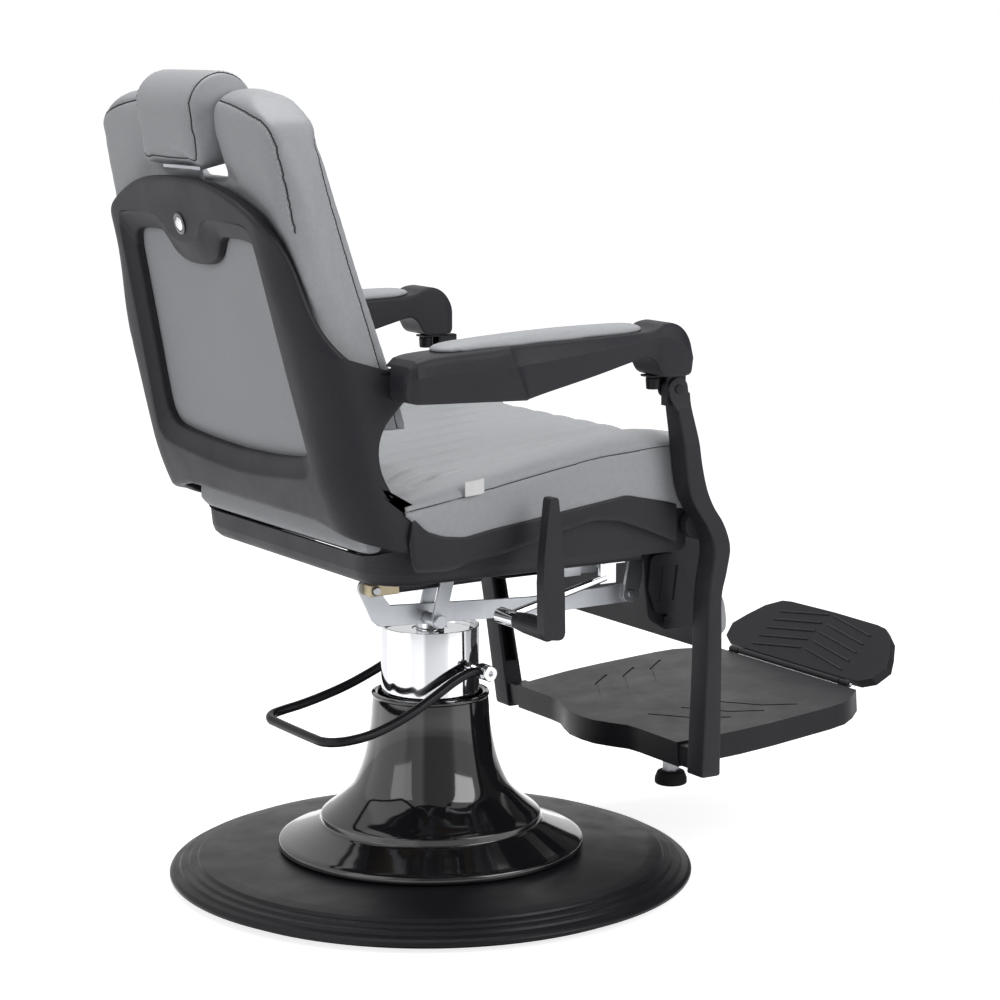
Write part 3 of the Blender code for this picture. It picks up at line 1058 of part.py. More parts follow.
def build_legs():
    pivot = empty("leg_axis", (0, POST_PIVOT_Y, POST_PIVOT_Z))
    made = []
    tube_end = SHELL_HALF_WIDTH + 0.0002
    for side, word in ((-1, "right"), (1, "left")):
        span = sorted((side * POST_INNER, side * (POST_INNER + POST_WIDTH)))
        blade = plate("post_blank_" + word, [post_outline()], *span, ALL_X, cutter=True)
        soften(blade, 0.003, 2, 40)
        mesh = baked(blade)
        split = bmesh.new()
        split.from_mesh(mesh)
        bmesh.ops.triangulate(split, faces=split.faces)
        bmesh.ops.bisect_plane(split, geom=split.verts[:] + split.edges[:] + split.faces[:],
                               dist=1e-5, plane_co=(0, 0, POST_KNEE_Z), plane_no=(0, 0, 1))
        split.to_mesh(mesh)
        split.free()
        lean_in(mesh, side)
        post = place(mesh, "post_" + word, PLASTIC)
        boss = rod("post_boss_shape", (side * (tube_end + 0.0003), POST_PIVOT_Y, POST_PIVOT_Z),
                   (side * (POST_INNER + 0.006), POST_PIVOT_Y, POST_PIVOT_Z), 0.018, cutter=True,
                   steps=28)
        post_middle = POST_INNER + POST_WIDTH / 2
        low, high = sorted((side * (post_middle - TONGUE_THICKNESS / 2),
                            side * (post_middle + TONGUE_THICKNESS / 2)))
        tongue_outline = (arc(ARM_FRONT_Y, ARM_FRONT_Z, 0.0112, 10, 170, 8)
                          + [(ARM_FRONT_Y - 0.0112, 0.650), (ARM_FRONT_Y + 0.0112, 0.650)])
        tongue = plate("tongue_shape", [tongue_outline], low, high, ALL_X, cutter=True)
        join(post, boss, tongue)
        cut(post, bore_x("tongue_bore", ARM_FRONT_Y, ARM_FRONT_Z, 0.005 + HOLE_FIT,
                         low - 0.01, high + 0.01))
        made.append(post)

        x = side * LEG_PLATE_X
        outline = rounded([(POST_PIVOT_Y - 0.016, POST_PIVOT_Z + 0.016, 0.010),
                           (POST_PIVOT_Y + 0.016, POST_PIVOT_Z + 0.016, 0.010),
                           (-0.2000, 0.4400, 0.020), (-0.2080, 0.3620, 0.014),
                           (-0.2360, 0.3440, 0.010), (-0.3074, 0.3440, 0.004),
                           (-0.2881, 0.4540, 0.004)])
        bolt_y, bolt_z = -0.236, 0.358
        leg_plate = plate("leg_plate_" + word, [outline, circle(POST_PIVOT_Y, POST_PIVOT_Z,
                                                                TUBE_RADIUS + HOLE_FIT, 20)],
                          x - LEG_PLATE_THICKNESS / 2, x + LEG_PLATE_THICKNESS / 2, ALL_X,
                          SATIN_BLACK)
        outside = x + side * (LEG_PLATE_THICKNESS / 2 - 0.001)
        slotted = rounded([(-0.2080, 0.4460, 0.010), (-0.2520, 0.4460, 0.018),
                           (-0.2620, 0.4000, 0.012), (-0.2500, 0.3680, 0.012),
                           (-0.2160, 0.3680, 0.012), (-0.2060, 0.4000, 0.010)])
        pad_low, pad_high = sorted((outside, outside + side * 0.007))
        join(leg_plate, plate("slotted_pad_shape", [slotted], pad_low, pad_high, ALL_X,
                              cutter=True))
        for slot_y in (-0.2200, -0.2430):
            slot = rod("pad_slot", (x, slot_y, 0.384), (x, slot_y - 0.006, 0.430), 0.0020,
                       cutter=True, steps=8)
            slot.location.x = side * (LEG_PLATE_THICKNESS / 2 + 0.006)
            cut(leg_plate, slot)
        bolt = rod("leg_plate_bolt_shape", (x, bolt_y, bolt_z), (x + side * 0.008, bolt_y, bolt_z),
                   0.007, cutter=True, steps=6)
        join(leg_plate, bolt)
        made.append(leg_plate)

    stop = [(0, foot_top(STOP_Y) - FOOT_WALL - 0.0021 - STOP_BOTTOM)]
    stop += [(0.0100, stop[0][1]), (0.0100, 0.0230), (0.0065, 0.0210), (0.0065, 0.0180),
             (0.0110, 0.0130), (STOP_RADIUS - 0.004, 0.0105), (STOP_RADIUS, 0.0065),
             (STOP_RADIUS, 0.0020), (STOP_RADIUS - 0.002, 0.0), (0, 0.0)]
    made.append(turned("stop_foot", stop, RUBBER, steps=20, at=(0, STOP_Y, STOP_BOTTOM)))

    cross = rod("leg_cross_tube", (-tube_end, POST_PIVOT_Y, POST_PIVOT_Z),
                (tube_end, POST_PIVOT_Y, POST_PIVOT_Z), TUBE_RADIUS, STEEL, steps=24)
    lug_x = BAR_X - BAR_THICKNESS / 2 - 0.0005
    lug_outline = (arc(POST_PIVOT_Y, POST_PIVOT_Z, 0.018, 0, 180, 10)
                   + arc(BAR_PIN_Y, BAR_PIN_Z, 0.012, 190, 350, 8))
    join(cross, plate("bar_lug_shape", [lug_outline, circle(BAR_PIN_Y, BAR_PIN_Z,
                                                            0.005 + HOLE_FIT)],
                      lug_x - 0.005, lug_x, ALL_X, cutter=True))
    pin = rod("bar_pin", (lug_x - 0.008, BAR_PIN_Y, BAR_PIN_Z),
              (BAR_X + BAR_THICKNESS / 2 + 0.004, BAR_PIN_Y, BAR_PIN_Z), 0.005, STEEL)

    calf_half = LEG_PLATE_X - LEG_PLATE_THICKNESS / 2 - FIT
    shell = plate("calf_shell", [[(-0.2860, 0.4680), (-0.3145, 0.3050), (-0.3225, 0.3030),
                                  (-0.3205, 0.3100), (-0.2925, 0.4700)]], -calf_half, calf_half,
                  ALL_X, PLASTIC)
    calf = plate("calf_cushion", [rounded([(-0.2930, 0.4690, 0.004), (-0.3210, 0.3105, 0.004),
                                           (-0.3600, 0.3200, 0.020), (-0.3480, 0.4500, 0.022)])],
                 -0.185, 0.185, ALL_X, LEATHER)
    soften(calf, 0.004, 2, 50)
    made += [cross, pin, shell, calf]
    made += build_footplate()
    hang(pivot, *made)


def foot_top(y):
    """Height of the footplate's tread at a y."""
    return FOOT_REAR_Z + (FOOT_REAR_Y - y) * math.tan(FOOT_TILT)


def build_footplate():
    """The tread is made level, with its rear edge at the origin, then laid at its tilt."""
    foot = plate("footplate_blank", [foot_outline(0.0)], -FOOT_THICKNESS, 0.0, ALL_Z, cutter=True)
    hollow = plate("footplate_hollow", [foot_outline(FOOT_WALL + 0.004)],
                   -FOOT_THICKNESS - 0.02, -FOOT_WALL - 0.001, ALL_Z, cutter=True)
    under = plate("footplate_under_cut", [[(-0.036, -FOOT_THICKNESS), (-0.40, 0.004 - FOOT_THICKNESS),
                                           (-0.40, -0.1), (-0.036, -0.1)]], -0.3, 0.3, ALL_X,
                  cutter=True)
    cut(foot, hollow, under)
    tools = [hollow, under]
    for side in (-1, 1):
        low, high = sorted((side * (FOOT_HALF_REAR - 0.006), side * FOOT_LUG_END))
        lug = block("foot_lug_shape", (low, -0.0280, 0.002 - FOOT_THICKNESS),
                    (high, -0.0020, -0.003), cutter=True)
        join(foot, lug)
        tools.append(lug)
        for index in range(3):
            start = Vector((side * (0.060 + 0.006 * index), -0.050 - 0.052 * index, 0.0005))
            knee = start + Vector((side * 0.062, -0.036, 0))
            tip = knee + Vector((side * 0.030, -0.038, 0))
            across = Vector((side * 0.0016, 0.0014, 0))
            groove = plate("tread_groove", [[p[:2] for p in (start + across, knee + across,
                                                             tip + across, tip - across,
                                                             knee - across, start - across)]],
                           -0.0012, 0.01, ALL_Z, cutter=True)
            cut(foot, groove)
            tools.append(groove)
    hinge_y, hinge_z = -FOOT_LENGTH - 0.008, HINGE_RISE
    for x in (-0.1300, 0.1300):
        knuckle = rod("knuckle_shape", (x - 0.010, hinge_y, hinge_z), (x + 0.010, hinge_y, hinge_z),
                      HINGE_RADIUS, cutter=True)
        arm = block("knuckle_arm_shape", (x - 0.0095, hinge_y, hinge_z - 0.0043),
                    (x + 0.0095, hinge_y + 0.014, hinge_z - 0.0018), cutter=True)
        join(foot, arm, knuckle)
        tools += [knuckle, arm]
    bore = bore_x("foot_hinge_bore", hinge_y, hinge_z, HINGE_PIN_RADIUS + HOLE_FIT, -0.16, 0.16)
    cut(foot, bore)
    foot = place(baked(foot), "footplate", SATIN_BLACK)
    for tool in tools + [bore]:
        bpy.data.objects.remove(tool, do_unlink=True)
    foot.rotation_euler = (-FOOT_TILT, 0, 0)
    foot.location = (0, FOOT_REAR_Y, FOOT_REAR_Z)

    lay = Matrix.Translation(foot.location) @ Matrix.Rotation(-FOOT_TILT, 4, "X")
    hinge = (lay @ Vector((0, hinge_y, hinge_z))).yz
    pin = rod("flip_hinge_pin", (-0.142, *hinge), (0.142, *hinge), HINGE_PIN_RADIUS, STEEL,
              steps=12)

    flip_axis = empty("flip_axis", (0, *hinge))
    up = FLIP_TILT
    face = (Vector((1, 0, 0)), Vector((0, math.cos(up), -math.sin(up))),
            Vector((0, math.sin(up), math.cos(up))))
    hinge_spot = Vector((0, *hinge))
    edge = hinge_spot.dot(face[1]) - HINGE_RADIUS - 0.002
    level = hinge_spot.dot(face[2])
    half = [(0.112, edge), (0.150, edge - 0.001), (0.172, edge - 0.012), (0.181, edge - 0.036),
            (0.167, edge - 0.057), (0.146, edge - 0.082), (0.120, edge - FLIP_LENGTH + 0.004),
            (0.100, edge - FLIP_LENGTH + 0.0015), (0.0, edge - FLIP_LENGTH)]
    face_level = level + 0.0008
    flip = plate("flip_plate", [mirrored(half)], face_level - FLIP_THICKNESS, face_level, face,
                 SATIN_BLACK)
    soften(flip, 0.0025, 2, 40)
    knuckle = rod("flip_knuckle_shape", (-0.1180, *hinge), (0.1180, *hinge), HINGE_RADIUS,
                  cutter=True)
    leaf = plate("flip_leaf_shape", [[(-0.1180, edge - 0.010), (0.1180, edge - 0.010),
                                      (0.1180, edge + 0.0075), (-0.1180, edge + 0.0075)]],
                 level - 0.0040, level - 0.0005, face, cutter=True)
    join(flip, leaf, knuckle)
    cut(flip, bore_x("flip_hinge_bore", *hinge, HINGE_PIN_RADIUS + HOLE_FIT, -0.16, 0.16))
    hang(flip_axis, flip)
    return [foot, pin, flip_axis]


# --------------------------------------------------------------------- lever
def build_lever():
    tee = rod("lever_support", (LEVER_TEE_X - 0.024, LEVER_Y, LEVER_Z),
              (LEVER_TEE_X + 0.018, LEVER_Y, LEVER_Z), 0.0105, CHROME, steps=20)
    rod_end = Vector((-0.200, -0.145, 0.4215))
    stay = rod("lever_rod_shape", (LEVER_TEE_X + 0.006, LEVER_Y, LEVER_Z), rod_end, 0.0050,
               cutter=True, steps=14)
    hanger = block("lever_hanger_shape", (-0.2030, -0.160, 0.4140), (-0.1970, -0.136, 0.4450),
                   cutter=True)
    flange = block("lever_flange_shape", (-0.2180, -0.164, 0.4425), (-0.1960, -0.132, 0.4467),
                   cutter=True)
    join(tee, stay, hanger, flange)
    shaft_radius = 0.0070
    cut(tee, bore_x("tee_bore", LEVER_Y, LEVER_Z, shaft_radius + HOLE_FIT, LEVER_TEE_X - 0.05,
                    LEVER_TEE_X + 0.013))

    pivot = empty("lever_axis", (0, LEVER_Y, LEVER_Z))
    outline = rounded([(LEVER_Y - 0.014, LEVER_Z - 0.012, 0.010),
                       (LEVER_Y + 0.016, LEVER_Z - 0.008, 0.012),
                       (LEVER_Y + 0.020, 0.4500, 0.030), (LEVER_Y + 0.018, 0.4900, 0.030),
                       (LEVER_Y + 0.008, 0.5560, 0.006), (LEVER_Y - 0.012, 0.5560, 0.006),
                       (LEVER_Y - 0.018, 0.5000, 0.020), (LEVER_Y - 0.018, 0.4400, 0.020)])
    handle = plate("lever_handle", [outline], HANDLE_INNER - HANDLE_THICKNESS, HANDLE_INNER, ALL_X,
                   PLASTIC)
    soften(handle, 0.004, 2, 40)
    hub_in = LEVER_TEE_X - 0.024 - FIT
    hub = turned("lever_hub", [(0, -HANDLE_INNER - FIT), (0.0145, -HANDLE_INNER - FIT),
                               (0.0130, -hub_in + 0.020), (0.0110, -hub_in),
                               (shaft_radius, -hub_in), (shaft_radius, -hub_in - 0.036),
                               (0, -hub_in - 0.036)], PLASTIC, steps=24, axis="X",
                 at=(0, LEVER_Y, LEVER_Z))
    hub.rotation_euler = (0, -math.pi / 2, 0)
    hang(pivot, handle, hub)


build_base()
build_pump()
build_pedal()
build_seat()
build_linkage()
build_back()
build_arms()
build_legs()
build_lever()
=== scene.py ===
# %% [markdown]
# A hydraulic barber chair, dressed for a studio shot.
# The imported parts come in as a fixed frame: every object is in metres, +Z is up,
# the chair faces -Y and the sitter's right hand is at -X. Each piece made here
# rides on one of the frame's bodies, so that it moves when the chair reclines,
# rises or turns.

# %% Load the frame
import json
import math

import bmesh
import bpy
from mathutils import Matrix, Vector
from mathutils.bvhtree import BVHTree
from mathutils.kdtree import KDTree

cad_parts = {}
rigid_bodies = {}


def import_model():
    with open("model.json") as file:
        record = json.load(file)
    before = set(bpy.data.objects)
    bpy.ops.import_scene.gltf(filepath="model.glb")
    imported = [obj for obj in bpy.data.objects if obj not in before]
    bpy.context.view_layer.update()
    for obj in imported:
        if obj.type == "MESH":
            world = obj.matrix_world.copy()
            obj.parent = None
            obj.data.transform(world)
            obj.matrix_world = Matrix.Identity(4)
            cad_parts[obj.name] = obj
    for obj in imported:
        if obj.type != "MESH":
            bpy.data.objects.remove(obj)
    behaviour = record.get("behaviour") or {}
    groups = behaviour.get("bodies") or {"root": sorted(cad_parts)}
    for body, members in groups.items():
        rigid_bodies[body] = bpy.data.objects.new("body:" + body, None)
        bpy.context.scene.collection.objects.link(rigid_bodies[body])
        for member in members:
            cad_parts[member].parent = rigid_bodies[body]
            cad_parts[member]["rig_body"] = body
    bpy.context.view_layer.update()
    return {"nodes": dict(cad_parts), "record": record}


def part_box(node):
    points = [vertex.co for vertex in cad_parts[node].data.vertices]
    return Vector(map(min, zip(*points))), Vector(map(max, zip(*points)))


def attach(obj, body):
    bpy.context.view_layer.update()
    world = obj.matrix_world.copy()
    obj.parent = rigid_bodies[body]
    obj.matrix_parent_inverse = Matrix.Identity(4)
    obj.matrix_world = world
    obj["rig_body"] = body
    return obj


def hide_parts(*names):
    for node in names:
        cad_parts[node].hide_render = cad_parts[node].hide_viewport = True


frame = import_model()
nodes = frame["nodes"]
scene = bpy.context.scene
scene.view_settings.view_transform = "Standard"

# %% [markdown]
# The camera stands low behind the sitter's right shoulder with a long lens, as a
# catalogue picture does: it keeps the upright lines of the chair nearly parallel.

# %% Camera
CAMERA_PLACE = Vector((-3.198, 1.875, 1.116))
CAMERA_AIM = Vector((0.8385, -0.5203, -0.1620))
CAMERA_LENS = 102.46

camera = bpy.data.objects.new("camera", bpy.data.cameras.new("camera"))
scene.collection.objects.link(camera)
camera.data.lens = CAMERA_LENS
camera.data.sensor_width = 36.0
camera.location = CAMERA_PLACE
camera.rotation_mode = "QUATERNION"
camera.rotation_quaternion = CAMERA_AIM.to_track_quat("-Z", "Y")
scene.camera = camera
print("camera:", CAMERA_LENS, "mm lens")

# %% [markdown]
# A studio cove is one white surface that is brighter than the object. The world is
# plain white to the camera and a milder grey light to everything else. Chrome needs
# something to reflect, so what a mirror sees of the world changes with the heading:
# white bands and darker ones, like the white and black cards that stand beside
# polished metal in a studio. The floor shows the same bands to a mirror.

# %% World
def link(tree, source, target):
    """Join two sockets of a node tree."""
    tree.links.new(source, target)


def add_node(tree, kind, place=(0, 0), **settings):
    """A shader node at a place in its tree, with its settings."""
    made = tree.nodes.new(kind)
    made.location = place
    for key, value in settings.items():
        setattr(made, key, value)
    return made


AMBIENT = 0.42
# share of the way round the room, and how light it is there
BANDS = [(0.0, 0.34), (0.025, 0.42), (0.045, 0.85), (0.150, 0.80), (0.175, 0.06), (0.265, 0.05),
         (0.278, 0.50), (0.292, 0.06), (0.355, 0.10), (0.372, 0.90), (0.415, 0.80), (0.50, 0.62),
         (0.585, 0.70), (0.60, 1.0), (0.780, 1.0), (0.800, 0.66), (0.870, 0.78), (0.890, 0.30),
         (1.0, 0.34)]


def studio_cards(tree, vector):
    """A colour socket that goes round the heading of a vector in light and dark bands."""
    turn = add_node(tree, "ShaderNodeSeparateXYZ", (-700, -500))
    link(tree, vector, turn.inputs["Vector"])
    heading = add_node(tree, "ShaderNodeMath", (-550, -500), operation="ARCTAN2")
    link(tree, turn.outputs["Y"], heading.inputs[0])
    link(tree, turn.outputs["X"], heading.inputs[1])
    round_room = add_node(tree, "ShaderNodeMapRange", (-400, -500))
    round_room.inputs["From Min"].default_value = -math.pi
    round_room.inputs["From Max"].default_value = math.pi
    link(tree, heading.outputs[0], round_room.inputs["Value"])
    cards = add_node(tree, "ShaderNodeValToRGB", (-200, -500))
    ramp = cards.color_ramp.elements
    for element, (position, level) in zip(ramp, (BANDS[0], BANDS[-1])):
        element.position = position
        element.color = (level, level, level, 1)
    for position, level in BANDS[1:-1]:
        ramp.new(position).color = (level, level, level, 1)
    link(tree, round_room.outputs["Result"], cards.inputs["Fac"])
    return cards.outputs["Color"]


world = bpy.data.worlds.new("studio")
scene.world = world
world.use_nodes = True
sky = world.node_tree
sky.nodes.clear()
sky_out = add_node(sky, "ShaderNodeOutputWorld", (900, 0))
camera_light = add_node(sky, "ShaderNodeBackground", (300, 200))
camera_light.inputs["Color"].default_value = (1, 1, 1, 1)
camera_light.inputs["Strength"].default_value = 1.0
room_light = add_node(sky, "ShaderNodeBackground", (300, 0))
room_light.inputs["Color"].default_value = (0.985, 0.99, 1.0, 1)
room_light.inputs["Strength"].default_value = AMBIENT
mirror_light = add_node(sky, "ShaderNodeBackground", (300, -200))
mirror_light.inputs["Strength"].default_value = 1.0
direction = add_node(sky, "ShaderNodeTexCoord", (-700, -200))
link(sky, studio_cards(sky, direction.outputs["Generated"]), mirror_light.inputs["Color"])
rays = add_node(sky, "ShaderNodeLightPath", (300, 500))
to_mirror = add_node(sky, "ShaderNodeMixShader", (550, -100))
link(sky, rays.outputs["Is Glossy Ray"], to_mirror.inputs["Fac"])
link(sky, room_light.outputs[0], to_mirror.inputs[1])
link(sky, mirror_light.outputs[0], to_mirror.inputs[2])
seen = add_node(sky, "ShaderNodeMath", (550, 300), operation="MAXIMUM")
link(sky, rays.outputs["Is Camera Ray"], seen.inputs[0])
link(sky, rays.outputs["Is Transmission Ray"], seen.inputs[1])
to_camera = add_node(sky, "ShaderNodeMixShader", (750, 0))
link(sky, seen.outputs[0], to_camera.inputs["Fac"])
link(sky, to_mirror.outputs[0], to_camera.inputs[1])
link(sky, camera_light.outputs[0], to_camera.inputs[2])
link(sky, to_camera.outputs[0], sky_out.inputs["Surface"])
print("world: room light", AMBIENT)

# %% [markdown]
# Three large soft lamps: a key on the sitter's right, which lights the sides of the
# cushions and arms, a weaker one behind the back, and one overhead. They are kept
# plain, so that a grey leather renders about as grey as it is.

# %% Lamps
def soft_lamp(name, place, aim, size, power):
    """A square area lamp, turned to a point."""
    data = bpy.data.lights.new(name, "AREA")
    data.size = size
    data.energy = power
    lamp = bpy.data.objects.new(name, data)
    lamp.location = place
    lamp.rotation_mode = "QUATERNION"
    lamp.rotation_quaternion = (Vector(aim) - Vector(place)).to_track_quat("-Z", "Y")
    scene.collection.objects.link(lamp)
    return lamp


soft_lamp("key_lamp", (-2.6, -1.3, 2.0), (0, 0, 0.6), 1.8, 38)
soft_lamp("back_lamp", (-0.6, 3.2, 1.7), (0, 0, 0.6), 2.0, 16)
soft_lamp("top_lamp", (0.3, 0.0, 3.2), (0, 0, 0.4), 2.2, 52)
print("lamps: 3")

# %% [markdown]
# The floor glows by itself to the camera and only takes the last part of its white
# from the lamps. That keeps it white, and still lets the soft shadow show.

# %% Floor
FLOOR_GLOW = 0.80
floor_mesh = bpy.data.meshes.new("floor")
floor_form = bmesh.new()
bmesh.ops.create_grid(floor_form, x_segments=2, y_segments=2, size=30.0)
floor_form.to_mesh(floor_mesh)
floor_form.free()
floor = bpy.data.objects.new("floor", floor_mesh)
floor.location = (0, 0, -0.0006)
scene.collection.objects.link(floor)
paper = bpy.data.materials.new("white_cove")
paper.use_nodes = True
tree = paper.node_tree
matte = tree.nodes["Principled BSDF"]
matte.inputs["Base Color"].default_value = (0.62, 0.62, 0.63, 1)
matte.inputs["Roughness"].default_value = 0.9
matte.inputs["Specular IOR Level"].default_value = 0.0
glow = add_node(tree, "ShaderNodeEmission", (0, -300))
path = add_node(tree, "ShaderNodeLightPath", (-400, -300))
spot = add_node(tree, "ShaderNodeTexCoord", (-900, -500))
shown = add_node(tree, "ShaderNodeMix", (-400, -500), data_type="RGBA")
shown.inputs[7].default_value = (FLOOR_GLOW, FLOOR_GLOW, FLOOR_GLOW, 1)
link(tree, path.outputs["Is Camera Ray"], shown.inputs["Factor"])
link(tree, studio_cards(tree, spot.outputs["Object"]), shown.inputs[6])
link(tree, shown.outputs[2], glow.inputs["Color"])
direct = add_node(tree, "ShaderNodeMath", (-200, -250), operation="MAXIMUM")
link(tree, path.outputs["Is Camera Ray"], direct.inputs[0])
link(tree, path.outputs["Is Glossy Ray"], direct.inputs[1])
link(tree, direct.outputs[0], glow.inputs["Strength"])
both = add_node(tree, "ShaderNodeAddShader", (300, 0))
link(tree, matte.outputs[0], both.inputs[0])
link(tree, glow.outputs[0], both.inputs[1])
link(tree, both.outputs[0], tree.nodes["Material Output"].inputs["Surface"])
floor_mesh.materials.append(paper)
print("floor: 60 m across")

# %% [markdown]
# Four surface effects are used by several finishes, so each is a node group that
# puts out masks and heights only: the pebbled grain of moulded plastic and leather,
# the fine lines left by rolling and polishing, the cloudy marks of handling, and
# the rubbed edges of painted parts. Every group works from object coordinates, so
# its scale is real.

# %% Groups of shader nodes
def new_group(name, inputs, outputs):
    """An empty shader group with named sockets: (name, kind, default)."""
    group = bpy.data.node_groups.new(name, "ShaderNodeTree")
    for label, kind, value in inputs:
        socket = group.interface.new_socket(name=label, in_out="INPUT", socket_type=kind)
        socket.default_value = value
    for label, kind in outputs:
        group.interface.new_socket(name=label, in_out="OUTPUT", socket_type=kind)
    start = add_node(group, "NodeGroupInput", (-900, 0))
    end = add_node(group, "NodeGroupOutput", (900, 0))
    return group, start, end


def scaled_place(tree, start, factor=1.0):
    """Object coordinates times the group's Scale socket."""
    place = add_node(tree, "ShaderNodeTexCoord", (-900, 250))
    times = add_node(tree, "ShaderNodeVectorMath", (-650, 200), operation="SCALE")
    link(tree, place.outputs["Object"], times.inputs[0])
    if factor == 1.0:
        link(tree, start.outputs["Scale"], times.inputs["Scale"])
        return times.outputs["Vector"]
    by = add_node(tree, "ShaderNodeMath", (-800, 50), operation="MULTIPLY")
    by.inputs[1].default_value = factor
    link(tree, start.outputs["Scale"], by.inputs[0])
    link(tree, by.outputs[0], times.inputs["Scale"])
    return times.outputs["Vector"]


FLOAT = "NodeSocketFloat"
COLOR = "NodeSocketColor"

grain_group, start, end = new_group("pebble_grain", [("Scale", FLOAT, 900.0), ("Wrinkle", FLOAT, 0.3)],
                                    [("Height", FLOAT), ("Tone", FLOAT)])
pebbles = add_node(grain_group, "ShaderNodeTexVoronoi", (-400, 200), feature="SMOOTH_F1")
link(grain_group, scaled_place(grain_group, start), pebbles.inputs["Vector"])
pebbles.inputs["Scale"].default_value = 1.0
pebbles.inputs["Smoothness"].default_value = 0.6
wrinkles = add_node(grain_group, "ShaderNodeTexNoise", (-400, -100))
wrinkles.inputs["Scale"].default_value = 1.0
wrinkles.inputs["Detail"].default_value = 4.0
link(grain_group, scaled_place(grain_group, start, 0.12), wrinkles.inputs["Vector"])
mixed = add_node(grain_group, "ShaderNodeMix", (0, 100), data_type="FLOAT")
link(grain_group, start.outputs["Wrinkle"], mixed.inputs["Factor"])
link(grain_group, pebbles.outputs["Distance"], mixed.inputs[2])
link(grain_group, wrinkles.outputs["Fac"], mixed.inputs[3])
link(grain_group, mixed.outputs[0], end.inputs["Height"])
link(grain_group, wrinkles.outputs["Fac"], end.inputs["Tone"])

brush_group, start, end = new_group("drawn_lines", [("Scale", FLOAT, 60.0), ("Stretch", FLOAT, 14.0)],
                                    [("Lines", FLOAT), ("Cloud", FLOAT)])
place = scaled_place(brush_group, start)
stretch = add_node(brush_group, "ShaderNodeVectorMath", (-450, 200), operation="MULTIPLY")
across = add_node(brush_group, "ShaderNodeCombineXYZ", (-650, -50))
across.inputs["Y"].default_value = 1.0
link(brush_group, start.outputs["Stretch"], across.inputs["X"])
link(brush_group, start.outputs["Stretch"], across.inputs["Z"])
link(brush_group, place, stretch.inputs[0])
link(brush_group, across.outputs[0], stretch.inputs[1])
lines = add_node(brush_group, "ShaderNodeTexNoise", (-200, 200))
lines.inputs["Scale"].default_value = 1.0
lines.inputs["Detail"].default_value = 3.0
link(brush_group, stretch.outputs[0], lines.inputs["Vector"])
cloud = add_node(brush_group, "ShaderNodeTexNoise", (-200, -100))
cloud.inputs["Scale"].default_value = 0.35
cloud.inputs["Detail"].default_value = 2.0
link(brush_group, place, cloud.inputs["Vector"])
link(brush_group, lines.outputs["Fac"], end.inputs["Lines"])
link(brush_group, cloud.outputs["Fac"], end.inputs["Cloud"])

smudge_group, start, end = new_group("handling_marks", [("Scale", FLOAT, 18.0), ("Low", FLOAT, 0.3),
                                                        ("High", FLOAT, 0.5)],
                                     [("Roughness", FLOAT), ("Mask", FLOAT)])
cloudy = add_node(smudge_group, "ShaderNodeTexNoise", (-400, 100))
cloudy.inputs["Scale"].default_value = 1.0
cloudy.inputs["Detail"].default_value = 5.0
cloudy.inputs["Roughness"].default_value = 0.6
link(smudge_group, scaled_place(smudge_group, start), cloudy.inputs["Vector"])
spread = add_node(smudge_group, "ShaderNodeMapRange", (0, 100))
spread.inputs["From Min"].default_value = 0.3
spread.inputs["From Max"].default_value = 0.7
link(smudge_group, cloudy.outputs["Fac"], spread.inputs["Value"])
link(smudge_group, start.outputs["Low"], spread.inputs["To Min"])
link(smudge_group, start.outputs["High"], spread.inputs["To Max"])
link(smudge_group, spread.outputs["Result"], end.inputs["Roughness"])
link(smudge_group, cloudy.outputs["Fac"], end.inputs["Mask"])

edge_group, start, end = new_group("rubbed_edges", [("Base", COLOR, (0.1, 0.1, 0.1, 1)),
                                                    ("Worn", COLOR, (0.3, 0.3, 0.3, 1)),
                                                    ("Amount", FLOAT, 0.5)],
                                   [("Color", COLOR), ("Mask", FLOAT)])
shape = add_node(edge_group, "ShaderNodeNewGeometry", (-700, 200))
ridge = add_node(edge_group, "ShaderNodeMapRange", (-450, 200))
ridge.inputs["From Min"].default_value = 0.51
ridge.inputs["From Max"].default_value = 0.60
link(edge_group, shape.outputs["Pointiness"], ridge.inputs["Value"])
broken = add_node(edge_group, "ShaderNodeTexNoise", (-450, -100))
broken.inputs["Scale"].default_value = 90.0
where = add_node(edge_group, "ShaderNodeMath", (-200, 100), operation="MULTIPLY")
link(edge_group, ridge.outputs["Result"], where.inputs[0])
link(edge_group, broken.outputs["Fac"], where.inputs[1])
amount = add_node(edge_group, "ShaderNodeMath", (0, 100), operation="MULTIPLY")
link(edge_group, where.outputs[0], amount.inputs[0])
link(edge_group, start.outputs["Amount"], amount.inputs[1])
colored = add_node(edge_group, "ShaderNodeMix", (300, 200), data_type="RGBA")
link(edge_group, amount.outputs[0], colored.inputs["Factor"])
link(edge_group, start.outputs["Base"], colored.inputs[6])
link(edge_group, start.outputs["Worn"], colored.inputs[7])
link(edge_group, colored.outputs[2], end.inputs["Color"])
link(edge_group, amount.outputs[0], end.inputs["Mask"])
print("groups:", [g.name for g in (grain_group, brush_group, smudge_group, edge_group)])

# %% [markdown]
# Each finish is one Principled material. The plastic and the leather get their
# character from a fine raised grain and a slow drift of tone; the metals get it
# from roughness that changes along the surface.

# %% Materials
def use(tree, group, place, **values):
    """Put a group in a material, with its own values."""
    made = add_node(tree, "ShaderNodeGroup", place)
    made.node_tree = group
    for label, value in values.items():
        made.inputs[label].default_value = value
    return made


def toned(tree, source, dark, light, place=(-300, 300)):
    """Two colours mixed by a mask."""
    mix = add_node(tree, "ShaderNodeMix", place, data_type="RGBA")
    mix.inputs[6].default_value = (*dark, 1)
    mix.inputs[7].default_value = (*light, 1)
    link(tree, source, mix.inputs["Factor"])
    return mix.outputs[2]


